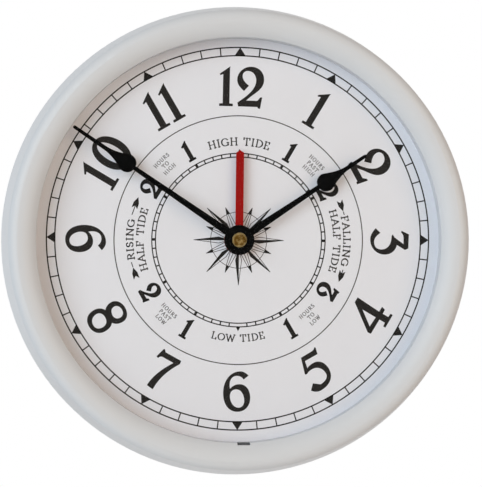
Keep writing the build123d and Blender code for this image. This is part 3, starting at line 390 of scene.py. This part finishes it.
MATERIALS = {
    "rim_plastic": make_plastic("rim_plastic", (0.66, 0.672, 0.70), roughness=0.38, spread=0.008, gloss=0.3),
    # The lens's dark colours also show, opaque, behind the pry notch as a painted shadow
    "lens_plastic": make_clear(
        "lens_plastic", (0.05, 0.055, 0.06), (0.08, 0.085, 0.09), face_on=0.015, edge_on=0.25
    ),
    "dial_paper": make_paper("dial_paper", (0.86, 0.865, 0.92)),
    "plate_plastic": make_plastic("plate_plastic", (0.76, 0.77, 0.78), roughness=0.5, relief=0.04),
    "movement_plastic": make_plastic("movement_plastic", (0.035, 0.036, 0.04), roughness=0.5, relief=0.04),
    "wheel_plastic": make_plastic("wheel_plastic", (0.72, 0.70, 0.62), roughness=0.4),
    "knob_plastic": make_plastic("knob_plastic", (0.60, 0.60, 0.58), roughness=0.45),
    "steel": make_metal("steel", (0.56, 0.57, 0.58), roughness=0.32),
    "nickel": make_metal("nickel", (0.62, 0.60, 0.56), roughness=0.25),
    # Brass: the dark colour is tarnish and a painted dark reflection, the bright one bright tarnish and a
    # painted highlight
    "brass": make_brass("brass", tarnished_and_shaded=(0.088, 0.044, 0.005), bright=(0.42, 0.31, 0.13)),
    "rubber": make_plastic("rubber", (0.03, 0.03, 0.03), roughness=0.75, relief=0.06),
    "hand_black": make_plastic("hand_black", (0.0015, 0.0015, 0.0015), roughness=0.6, gloss=0.01),
    "hand_red": make_plastic("hand_red", (0.35, 0.006, 0.005), roughness=0.5, gloss=0.04),
    "magnet": make_metal("magnet", (0.18, 0.18, 0.19), roughness=0.4),
    "copper": make_winding("copper", (0.60, 0.22, 0.08)),
    "board": make_plastic("board", (0.05, 0.16, 0.07), roughness=0.5, spread=0.1),
    "chip": make_plastic("chip", (0.02, 0.02, 0.022), roughness=0.6),
    "cell": make_metal("cell", (0.42, 0.42, 0.43), roughness=0.35, spread=0.02),
}


def make_ink(name, colour):
    """Flat printing ink."""
    return make_plastic(name, colour, roughness=0.7, spread=0.1, relief=0.005, gloss=0.08)


INK = make_ink("dial_ink", (0.022, 0.020, 0.019))
FINE_INK = make_ink("fine_ink", (0.060, 0.056, 0.054))


def dress_nodes():
    """Gives each CAD node the material of its slot in the record."""
    for part in frame["record"]["subparts"]:
        slots = nodes[part["node"]].data.materials
        slots.clear()
        slots.append(MATERIALS[part["material_slot"]])


# Flat shapes on the dial: a shape is one outline and its holes
def polar(radius, angle):
    """Point on the dial."""
    turned = radians(angle + PRINT_TURN)
    return (radius * sin(turned), radius * cos(turned))


def circle(radius, steps=RING_STEPS):
    """Round outline about the hand axis."""
    return [polar(radius, 360 * step / steps) for step in range(steps)]


def ring_line(radius, width):
    """Printed circle of a given line width."""
    return [circle(radius + width / 2), circle(radius - width / 2)]


def stroke(start, end, width):
    """Straight line with square ends, drawn half a width past its two points."""
    along = (Vector(end) - Vector(start)).normalized() * width / 2
    across = Vector((-along.y, along.x))
    first = Vector(start) - along
    last = Vector(end) + along
    return [[first + across, first - across, last - across, last + across]]


def radial_line(inner, outer, angle, width):
    """Straight line along a radius."""
    across = Vector(polar(width / 2, angle + 90))
    low = Vector(polar(inner, angle))
    high = Vector(polar(outer, angle))
    return [[low - across, low + across, high + across, high - across]]


def placed(outline, angle, radius, height, inward):
    """Glyph outline set on the dial, its top away from the hand axis or towards it."""
    side = -1 if inward else 1
    up = Vector(polar(side, angle))
    right = Vector(polar(side, angle + 90))
    middle = Vector(polar(radius, angle))
    return [middle + right * x * height + up * (y - 0.5) * height for x, y in outline]


def add_film(name, shapes, material, rise=0.0):
    """Prints flat shapes on the dial as one thin piece, moved up by its rise."""
    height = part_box("dial")[0].y - FILM_LIFT * MM
    vertices = []
    faces = []
    for shape in shapes:
        first = len(vertices)
        corners = [(point[0], point[1]) for outline in shape for point in outline]
        vertices.extend((x * MM, height, (y + rise) * MM) for x, y in corners)
        flat = [[(point[0], point[1], 0) for point in outline] for outline in shape]
        for triangle in tessellate_polygon(flat):
            a, b, c = (Vector(corners[index]) for index in triangle)
            order = triangle if (b - a).cross(c - a) > 0 else triangle[::-1]
            faces.append([first + index for index in order])
    mesh = bpy.data.meshes.new(name)
    mesh.from_pydata(vertices, [], faces)
    mesh.materials.append(material)
    piece = bpy.data.objects.new(name, mesh)
    bpy.context.scene.collection.objects.link(piece)
    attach(piece, "case")


# Numerals: outlines on a height of one. A pair is a corner; six numbers are a cubic curve's two
# handles and its end.
NINE_WIDTH = 0.686
SIX = [
    [
        (0.514, 0.805), (0.638, 0.905),
        (0.57, 0.97, 0.51, 1.01, 0.43, 1.01),
        (0.18, 1.01, 0, 0.78, 0, 0.47),
        (0, 0.18, 0.14, -0.01, 0.36, -0.01),
        (0.55, -0.01, 0.686, 0.13, 0.686, 0.34),
        (0.686, 0.55, 0.57, 0.686, 0.42, 0.686),
        (0.31, 0.686, 0.24, 0.645, 0.172, 0.567),
        (0.13, 0.76, 0.21, 0.895, 0.34, 0.895),
        (0.42, 0.895, 0.48, 0.86, 0.514, 0.805),
    ],
    [
        (0.172, 0.38),
        (0.172, 0.50, 0.24, 0.555, 0.34, 0.555),
        (0.45, 0.555, 0.535, 0.42, 0.535, 0.27),
        (0.535, 0.15, 0.47, 0.095, 0.385, 0.095),
        (0.26, 0.095, 0.172, 0.25, 0.172, 0.38),
    ],
]
DIGITS = {
    "0": [
        [
            (0.37, -0.03),
            (0.60, -0.03, 0.74, 0.22, 0.74, 0.5),
            (0.74, 0.78, 0.60, 1.03, 0.37, 1.03),
            (0.14, 1.03, 0, 0.78, 0, 0.5),
            (0, 0.22, 0.14, -0.03, 0.37, -0.03),
        ],
        [
            (0.37, 0.085),
            (0.26, 0.085, 0.185, 0.28, 0.185, 0.5),
            (0.185, 0.72, 0.26, 0.915, 0.37, 0.915),
            (0.48, 0.915, 0.555, 0.72, 0.555, 0.5),
            (0.555, 0.28, 0.48, 0.085, 0.37, 0.085),
        ],
    ],
    "1": [
        [
            (0, 0), (0.345, 0), (0.345, 0.062), (0.258, 0.07), (0.258, 0.96), (0.275, 1.0),
            (0.235, 0.985), (0, 0.815), (0.015, 0.775), (0.088, 0.805), (0.088, 0.07), (0, 0.062),
        ],
    ],
    "2": [
        [
            (0.034, 0), (0.522, -0.005), (0.534, -0.04), (0.59, -0.05), (0.64, 0.24), (0.59, 0.24),
            (0.52, 0.152), (0.236, 0.152),
            (0.40, 0.33, 0.68, 0.42, 0.68, 0.68),
            (0.68, 0.88, 0.54, 1.01, 0.35, 1.01),
            (0.16, 1.01, 0, 0.86, 0, 0.68),
            (0, 0.55, 0.08, 0.48, 0.175, 0.39),
            (0.30, 0.53),
            (0.20, 0.60, 0.135, 0.68, 0.135, 0.77),
            (0.135, 0.85, 0.19, 0.90, 0.27, 0.90),
            (0.39, 0.90, 0.48, 0.80, 0.48, 0.66),
            (0.48, 0.44, 0.25, 0.26, 0.015, 0.10),
        ],
    ],
    "3": [
        [
            (0, 0.124),
            (0.10, 0.04, 0.18, -0.01, 0.284, -0.01),
            (0.49, -0.01, 0.665, 0.14, 0.665, 0.36),
            (0.665, 0.53, 0.56, 0.64, 0.417, 0.674),
            (0.54, 0.88), (0.50, 0.965), (0.142, 0.975), (0.053, 0.785), (0.10, 0.775),
            (0.15, 0.84, 0.2, 0.845, 0.39, 0.84),
            (0.222, 0.607), (0.15, 0.565), (0.19, 0.532),
            (0.42, 0.54, 0.54, 0.42, 0.536, 0.27),
            (0.53, 0.14, 0.45, 0.09, 0.34, 0.09),
            (0.24, 0.09, 0.17, 0.17, 0.115, 0.248),
        ],
    ],
    "4": [
        [
            (0.33, 0), (0.70, 0), (0.70, 0.065), (0.60, 0.075), (0.60, 0.235), (0.715, 0.24),
            (0.745, 0.34), (0.60, 0.345), (0.635, 1.0), (0.49, 1.0), (0, 0.33), (0.01, 0.24),
            (0.43, 0.235), (0.43, 0.075), (0.33, 0.065),
        ],
        [(0.43, 0.345), (0.155, 0.36), (0.43, 0.735)],
    ],
    "5": [
        [
            (0, 0.115),
            (0.06, 0.03, 0.14, -0.01, 0.234, -0.01),
            (0.50, -0.01, 0.67, 0.14, 0.67, 0.36),
            (0.67, 0.56, 0.56, 0.69, 0.40, 0.69),
            (0.32, 0.69, 0.25, 0.68, 0.205, 0.65),
            (0.24, 0.836), (0.605, 0.83), (0.645, 1.0), (0.615, 1.02),
            (0.59, 0.975, 0.55, 0.965, 0.50, 0.965),
            (0.195, 0.96), (0.07, 0.54), (0.12, 0.525),
            (0.18, 0.565, 0.26, 0.575, 0.33, 0.565),
            (0.46, 0.55, 0.545, 0.44, 0.545, 0.30),
            (0.545, 0.18, 0.42, 0.13, 0.29, 0.13),
            (0.134, 0.25),
        ],
    ],
    "6": SIX,
    "7": [
        [
            (0.155, 0.01), (0.335, -0.01),
            (0.33, 0.30, 0.42, 0.58, 0.61, 0.88),
            (0.595, 0.965), (0.148, 0.958), (0.095, 1.02), (0.065, 1.0), (0, 0.76), (0.055, 0.735),
            (0.08, 0.80, 0.10, 0.816, 0.16, 0.818),
            (0.455, 0.823),
            (0.28, 0.56, 0.16, 0.28, 0.155, 0.01),
        ],
    ],
    "8": [
        [
            (0.30, -0.01),
            (0.48, -0.01, 0.605, 0.11, 0.605, 0.28),
            (0.605, 0.40, 0.57, 0.48, 0.507, 0.533),
            (0.58, 0.58, 0.625, 0.66, 0.625, 0.78),
            (0.625, 0.92, 0.50, 1.01, 0.345, 1.01),
            (0.17, 1.01, 0.05, 0.91, 0.05, 0.77),
            (0.05, 0.67, 0.09, 0.60, 0.147, 0.554),
            (0.05, 0.50, 0, 0.41, 0, 0.29),
            (0, 0.10, 0.12, -0.01, 0.30, -0.01),
        ],
        [
            (0.32, 0.10),
            (0.20, 0.10, 0.12, 0.19, 0.12, 0.30),
            (0.12, 0.41, 0.21, 0.46, 0.31, 0.455),
            (0.42, 0.45, 0.485, 0.38, 0.485, 0.28),
            (0.485, 0.17, 0.43, 0.10, 0.32, 0.10),
        ],
        [
            (0.345, 0.64),
            (0.26, 0.65, 0.185, 0.69, 0.185, 0.78),
            (0.185, 0.86, 0.25, 0.915, 0.345, 0.915),
            (0.44, 0.915, 0.50, 0.86, 0.50, 0.78),
            (0.50, 0.69, 0.43, 0.63, 0.345, 0.64),
        ],
    ],
}


def cubic(start, handle_a, handle_b, end):
    """Points along a cubic curve, without its first."""
    points = []
    for step in range(1, CURVE_STEPS + 1):
        t = step / CURVE_STEPS
        s = 1 - t
        points.append(start * s**3 + 3 * handle_a * s * s * t + 3 * handle_b * s * t * t + end * t**3)
    return points


def drawn(path):
    """Points of an outline of corners and curves."""
    points = [Vector(path[0])]
    for step in path[1:]:
        ends = [Vector(step[index:index + 2]) for index in range(0, len(step), 2)]
        if len(ends) == 1:
            points.append(ends[0])
        else:
            points.extend(cubic(points[-1], *ends))
    if (points[-1] - points[0]).length < SAME_POINT:
        points.pop()
    return points


def digit_shape(digit):
    """Outlines of one digit."""
    if digit == "9":
        turned = [drawn(path) for path in SIX]
        return [[Vector((NINE_WIDTH - point.x, 1 - point.y)) for point in outline] for outline in turned]
    return [drawn(path) for path in DIGITS[digit]]


def numeral_shapes(number, angle, radius, height, inward):
    """Shapes of a whole number, centred on an angle."""
    shapes = [digit_shape(digit) for digit in str(number)]
    widths = [max(point.x for point in shape[0]) for shape in shapes]
    left = -(sum(widths) + NUMERAL_GAP * (len(widths) - 1)) / 2
    result = []
    for shape, width in zip(shapes, widths):
        moved = [[(point.x + left, point.y) for point in outline] for outline in shape]
        result.append([placed(outline, angle, radius, height, inward) for outline in moved])
        left += width + NUMERAL_GAP
    return result


def outline_strokes(shape, width):
    """Lines along all the outlines of a shape, which make it bolder."""
    return [
        stroke(start, end, width)
        for outline in shape
        for start, end in zip(outline, outline[1:] + outline[:1])
    ]


# Letters: width, pen strokes and feet of the serifs, on a height of one
def arc(centre_x, centre_y, radius_x, radius_y, start, end):
    """Curved pen stroke, from one angle to another."""
    turn = [radians(start + (end - start) * step / ARC_STEPS) for step in range(ARC_STEPS + 1)]
    return [(centre_x + radius_x * cos(angle), centre_y + radius_y * sin(angle)) for angle in turn]


def stem(x):
    """Upright pen stroke."""
    return [(x, 0), (x, 1)]


def ends(*places):
    """Both ends of each upright."""
    return [(x, y) for x in places for y in (0, 1)]


TOP_ARM = [(0.16, 1), (0.56, 1), (0.56, 0.82)]
FOOT_ARM = [(0.16, 0), (0.6, 0), (0.6, 0.2)]
MIDDLE_ARM = [(0.16, 0.5), (0.46, 0.5)]
LETTERS = {
    "A": (0.80, [[(0.06, 0), (0.4, 1), (0.74, 0)], [(0.19, 0.36), (0.61, 0.36)]], [(0.06, 0), (0.74, 0)]),
    "D": (0.82, [stem(0.16), [(0.16, 1), *arc(0.34, 0.5, 0.44, 0.5, 90, -90), (0.16, 0)]], ends(0.16)),
    "E": (0.66, [stem(0.16), FOOT_ARM, MIDDLE_ARM, TOP_ARM], ends(0.16)),
    "F": (0.62, [stem(0.16), MIDDLE_ARM, TOP_ARM], ends(0.16)),
    "G": (0.86, [arc(0.44, 0.5, 0.4, 0.5, 40, 320), [(0.76, 0.1), (0.76, 0.42)]], [(0.74, 0.42)]),
    "H": (0.88, [stem(0.16), stem(0.72), [(0.16, 0.5), (0.72, 0.5)]], ends(0.16, 0.72)),
    "I": (0.36, [stem(0.18)], ends(0.18)),
    "L": (0.64, [stem(0.16), FOOT_ARM], ends(0.16)),
    "N": (0.88, [[(0.14, 0), (0.14, 1), (0.74, 0), (0.74, 1)]], [(0.14, 0), (0.14, 1), (0.74, 1)]),
    "O": (0.88, [arc(0.44, 0.5, 0.4, 0.5, 0, 360)], []),
    "P": (0.66, [stem(0.16), [(0.16, 1), *arc(0.34, 0.74, 0.26, 0.26, 90, -90), (0.16, 0.48)]], ends(0.16)),
    "R": (
        0.76,
        [
            stem(0.16),
            [(0.16, 1), *arc(0.34, 0.75, 0.26, 0.25, 90, -90), (0.16, 0.5)],
            [(0.36, 0.5), (0.7, 0)],
        ],
        ends(0.16),
    ),
    "S": (0.58, [[*arc(0.28, 0.75, 0.2, 0.25, 20, 270), *arc(0.28, 0.25, 0.22, 0.25, 90, -160)[1:]]], []),
    "T": (0.76, [stem(0.38), [(0.04, 0.8), (0.04, 1), (0.72, 1), (0.72, 0.8)]], [(0.38, 0)]),
    "U": (0.84, [[(0.14, 1), *arc(0.42, 0.3, 0.28, 0.3, 180, 360), (0.7, 1)]], [(0.14, 1), (0.7, 1)]),
    "W": (1.12, [[(0.06, 1), (0.32, 0), (0.56, 0.9), (0.8, 0), (1.06, 1)]], [(0.06, 1), (1.06, 1)]),
    " ": (0.36, [], []),
}


def pen_width(start, end):
    """Broad for uprights and fine for level strokes."""
    run = Vector(end) - Vector(start)
    upright = abs(run.y) / run.length
    return LETTER_THIN + (LETTER_THICK - LETTER_THIN) * upright


def word_shapes(
    text, angle, radius, height, inward=False, stretch=1.0, weight=1.0, gap=LETTER_GAP, feet=SERIF
):
    """Pen strokes of a line of letters, centred on an angle of a circle."""
    side = -1 if inward else 1
    widths = [LETTERS[letter][0] for letter in text]
    place = -(sum(widths) + gap * (len(text) - 1)) / 2
    size = height * stretch
    shapes = []
    for letter, width in zip(text, widths):
        turn = angle + side * degrees((place + width / 2) * size / radius)
        serifs = [[(x - feet, y), (x + feet, y)] for x, y in LETTERS[letter][2]] if feet else []
        for pen in LETTERS[letter][1] + serifs:
            moved = [((x - width / 2) * stretch, y) for x, y in pen]
            points = placed(moved, turn, radius, height, inward)
            for step in range(len(pen) - 1):
                breadth = pen_width(moved[step], moved[step + 1]) * size * weight
                shapes.append(stroke(points[step], points[step + 1], breadth))
        place += width + gap
    return shapes


# Printed pieces
def print_minute_track():
    """Sixty cells between two circles, with a solid triangle at each hour."""
    shapes = [ring_line(TRACK_OUTER, TRACK_LINE), ring_line(TRACK_INNER, TRACK_LINE)]
    for minute in range(60):
        angle = minute * 6
        if minute % 5:
            shapes.append(radial_line(TRACK_INNER, TRACK_OUTER, angle, TRACK_TICK))
        else:
            across = Vector(polar(HOUR_MARK_BASE / 2, angle + 90))
            base = Vector(polar(TRACK_INNER, angle))
            shapes.append([[base - across, base + across, Vector(polar(TRACK_OUTER, angle))]])
    add_film("minute_track", shapes, INK, TRACK_RISE)
    add_film("hour_circle", [ring_line(HOUR_RING, HOUR_RING_LINE)], FINE_INK)


def print_hour_numerals():
    """One to twelve, the lower five with their tops to the hand axis."""
    shapes = []
    for hour in range(1, 13):
        angle = hour * 30 + NUMERAL_NUDGES[hour]
        shapes += numeral_shapes(hour, angle, NUMERAL_RADIUS, NUMERAL_HEIGHT, 4 <= hour <= 8)
    add_film("hour_numerals", shapes, INK, NUMERAL_RISE)


def print_tide_ring():
    """Divided ring round the rose, with a pointer at high and at low water."""
    shapes = [ring_line(TIDE_OUTER, TIDE_LINE), ring_line(TIDE_INNER, TIDE_LINE)]
    for angle in range(0, 360, TIDE_CELL):
        if angle % 180:
            width = TIDE_TICK if angle % TIDE_MARK else TIDE_MARK_WIDTH
            shapes.append(radial_line(TIDE_INNER, TIDE_OUTER, angle, width))
    for angle in (0, 180):
        across = Vector(polar(TIDE_POINTER / 2, angle + 90))
        base = Vector(polar(TIDE_OUTER, angle))
        shapes.append([[base - across, base + across, Vector(polar(TIDE_OUTER + TIDE_POINTER, angle))]])
    add_film("tide_ring", shapes, INK)


def print_tide_numerals():
    """Hours counted from high and low water."""
    shapes = []
    for number, angle in TIDE_NUMERALS:
        numeral = numeral_shapes(number, angle, TIDE_NUMERAL_RADIUS, TIDE_NUMERAL_HEIGHT, 90 < angle < 270)
        shapes += numeral
        for shape in numeral:
            shapes += outline_strokes(shape, TIDE_NUMERAL_WEIGHT)
    add_film("tide_numerals", shapes, INK)


def print_tide_words():
    """Plain words for the state of the tide, along circles."""
    shapes = word_shapes(
        "HIGH TIDE", HIGH_WORD_ANGLE, HIGH_WORD_RADIUS, HIGH_WORD_HEIGHT, stretch=WORD_STRETCH
    )
    shapes += word_shapes(
        "LOW TIDE", LOW_WORD_ANGLE, LOW_WORD_RADIUS, LOW_WORD_HEIGHT, inward=True, stretch=WORD_STRETCH
    )
    for word, angle in SIDE_WORDS:
        for text, radius in ((word, SIDE_WORD_OUTER), ("HALF TIDE", SIDE_WORD_INNER)):
            shapes += word_shapes(text, angle, radius, SIDE_WORD_HEIGHT, stretch=SIDE_WORD_STRETCH)
    add_film("tide_words", shapes, FINE_INK)


def print_hour_legends():
    """Small three-line legends between the tide numerals."""
    shapes = []
    for angle, middle, last in LEGENDS:
        inward = 90 < angle < 270
        side = -1 if inward else 1
        for line, text in enumerate(("HOURS", middle, last)):
            radius = LEGEND_RADIUS + side * (1 - line) * LEGEND_LEADING
            shapes += word_shapes(
                text, angle, radius, LEGEND_HEIGHT, inward, weight=LEGEND_WEIGHT, gap=LEGEND_GAP, feet=0
            )
    add_film("hour_legends", shapes, FINE_INK)


def print_tide_arrows():
    """Notched arrowheads and dashes at both ends of the words for the moving tide."""
    shapes = []
    half = ARROW_WIDTH / 2
    for angle, side, dash in ARROWS:
        centre = Vector(polar(ARROW_RADIUS, angle))
        along = Vector(polar(1, angle + 90))
        across = Vector(polar(1, angle))
        tip = centre + along * ARROW_LENGTH / 2
        tail = centre - along * ARROW_LENGTH / 2
        notch = tail + along * ARROW_NOTCH
        belly = across * ARROW_BELLY / 2
        shapes.append([[
            tip, centre + belly, tail + across * half, notch, tail - across * half, centre - belly
        ]])
        inner_end = notch if side > 0 else tip
        dash_start = inner_end - along * side * ARROW_DASH_GAP
        dash_end = dash_start - along * side * dash
        shapes.append(stroke(dash_start, dash_end, ARROW_DASH_WIDTH))
    add_film("tide_arrows", shapes, INK)


def print_compass_rose():
    """Sixteen-point star with a thin ring: long points half black, short ones open with black tips."""
    solid = []
    fine = [ring_line(ROSE_RING, ROSE_LINE)]
    for point in range(ROSE_POINTS):
        angle = point * 360 / ROSE_POINTS
        root = Vector(polar(ROSE_ROOT, angle))
        if point % 2:
            tip = Vector(polar(MINOR_POINT, angle))
            foot = Vector(polar(ROSE_RING, angle))
            band = Vector(polar(MINOR_HALF_WIDTH, angle + 90))
            spread = Vector(polar(MINOR_ROOT_HALF_WIDTH, angle + 90))
            blade = [[foot - band, foot + band, tip]]
            fine.append(stroke(root - spread, foot - band, ROSE_LINE))
            fine.append(stroke(root + spread, foot + band, ROSE_LINE))
            fine.append(stroke(root, foot, ROSE_LINE))
        else:
            tip = Vector(polar(LONG_POINT, angle))
            waist = Vector(polar(POINT_WAIST, angle))
            band = Vector(polar(POINT_HALF_WIDTH, angle + 90))
            blade = [[root, waist + band, tip]]
            fine.append(stroke(root, waist - band, ROSE_LINE))
            fine.append(stroke(waist - band, tip, ROSE_LINE))
        solid += [blade, *outline_strokes(blade, ROSE_WEIGHT)]
    add_film("compass_rose", solid, INK)
    add_film("compass_rose_lines", fine, FINE_INK)


# Scene
def add_camera():
    """Camera in front of the dial, a little to the left."""
    dial_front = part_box("dial")[0].y
    right = (IMAGE_WIDTH / 2 - DIAL_CENTRE_PIXEL[0]) * MM_PER_PIXEL
    down = (IMAGE_HEIGHT / 2 - DIAL_CENTRE_PIXEL[1]) * MM_PER_PIXEL
    target = Vector((right * MM, dial_front, -down * MM))
    azimuth = radians(CAMERA_AZIMUTH)
    elevation = radians(CAMERA_ELEVATION)
    outward = Vector((sin(azimuth) * cos(elevation), -cos(azimuth) * cos(elevation), sin(elevation)))
    data = bpy.data.cameras.new("camera")
    data.sensor_fit = "VERTICAL"
    data.sensor_height = SENSOR_HEIGHT
    data.lens = SENSOR_HEIGHT * CAMERA_DISTANCE / (IMAGE_HEIGHT * MM_PER_PIXEL)
    data.clip_start = CAMERA_NEAR * MM
    camera = bpy.data.objects.new("camera", data)
    camera.location = target + outward * CAMERA_DISTANCE * MM
    camera.rotation_euler = outward.to_track_quat("Z", "Y").to_euler()
    bpy.context.scene.collection.objects.link(camera)
    bpy.context.scene.camera = camera


def add_lamp(name, place, size, power, colour, mirrored=True):
    """Soft square lamp that looks at the middle of the clock, mirrored by its metal or not."""
    data = bpy.data.lights.new(name, "AREA")
    data.size = size
    data.energy = power
    data.color = colour
    lamp = bpy.data.objects.new(name, data)
    lamp.location = place
    lamp.rotation_euler = Vector(place).to_track_quat("Z", "Y").to_euler()
    lamp.visible_glossy = mirrored
    bpy.context.scene.collection.objects.link(lamp)


def seen_directly(tree):
    """One for rays from the camera, mirrors and clear pieces, nought for the light on surfaces."""
    path = tree.nodes.new("ShaderNodeLightPath").outputs
    mirrored = add_math(tree, "MAXIMUM", path["Is Camera Ray"], path["Is Glossy Ray"])
    return add_math(tree, "MAXIMUM", mirrored, path["Is Transmission Ray"])


def add_world(ambient, strength):
    """Soft surrounding light, seen as plain white."""
    world = bpy.data.worlds.new("studio")
    world.use_nodes = True
    tree = world.node_tree
    light = tree.nodes["Background"]
    light.inputs["Color"].default_value = (*ambient, 1)
    light.inputs["Strength"].default_value = strength
    white = tree.nodes.new("ShaderNodeBackground")
    white.inputs["Color"].default_value = (1, 1, 1, 1)
    mix = tree.nodes.new("ShaderNodeMixShader")
    tree.links.new(seen_directly(tree), mix.inputs["Fac"])
    tree.links.new(light.outputs["Background"], mix.inputs[1])
    tree.links.new(white.outputs["Background"], mix.inputs[2])
    tree.links.new(mix.outputs["Shader"], tree.nodes["World Output"].inputs["Surface"])
    bpy.context.scene.world = world


def make_floor_paint():
    """Pale matt paint that glows a little to the eye and adds no light of its own to the clock."""
    material, tree, shader, coordinates = make_material("floor")
    clouds = add_noise(tree, coordinates, FLOOR_CLOUDS)
    paint_between(tree, shader, clouds, *shades(FLOOR_GREY, spread=0.0125))
    shader.inputs["Roughness"].default_value = 0.9
    glow = tree.nodes.new("ShaderNodeEmission")
    glow.inputs["Color"].default_value = (FLOOR_GLOW, FLOOR_GLOW, FLOOR_GLOW, 1)
    tree.links.new(seen_directly(tree), glow.inputs["Strength"])
    both = tree.nodes.new("ShaderNodeAddShader")
    tree.links.new(shader.outputs["BSDF"], both.inputs[0])
    tree.links.new(glow.outputs["Emission"], both.inputs[1])
    tree.links.new(both.outputs["Shader"], tree.nodes["Material Output"].inputs["Surface"])
    return material


def add_floor():
    """Round floor well below the hanging clock."""
    height = cad_box[0][2] - FLOOR_DROP * MM
    edge = [(x * MM, -y * MM, height) for x, y in circle(FLOOR_RADIUS, FLOOR_STEPS)]
    mesh = bpy.data.meshes.new("floor")
    mesh.from_pydata(edge, [], [list(range(FLOOR_STEPS))])
    mesh.materials.append(make_floor_paint())
    floor = bpy.data.objects.new("floor", mesh)
    bpy.context.scene.collection.objects.link(floor)


bpy.context.scene.view_settings.view_transform = "Standard"
dress_nodes()
print_minute_track()
print_hour_numerals()
print_tide_ring()
print_tide_numerals()
print_tide_words()
print_hour_legends()
print_tide_arrows()
print_compass_rose()
add_camera()
add_floor()
add_world(ambient=(1.0, 0.97, 0.945), strength=0.33)
add_lamp("key", place=(-1.25, -1.55, 0.4), size=1.6, power=25.0, colour=(0.81, 0.93, 1.0))
add_lamp("fill", place=(1.0, -1.5, 0.3), size=1.4, power=9.5, colour=(1.0, 0.70, 0.40))
add_lamp("rear", place=(0.15, 2.2, 0.15), size=0.5, power=24.0, colour=(1.0, 0.985, 0.97), mirrored=False)
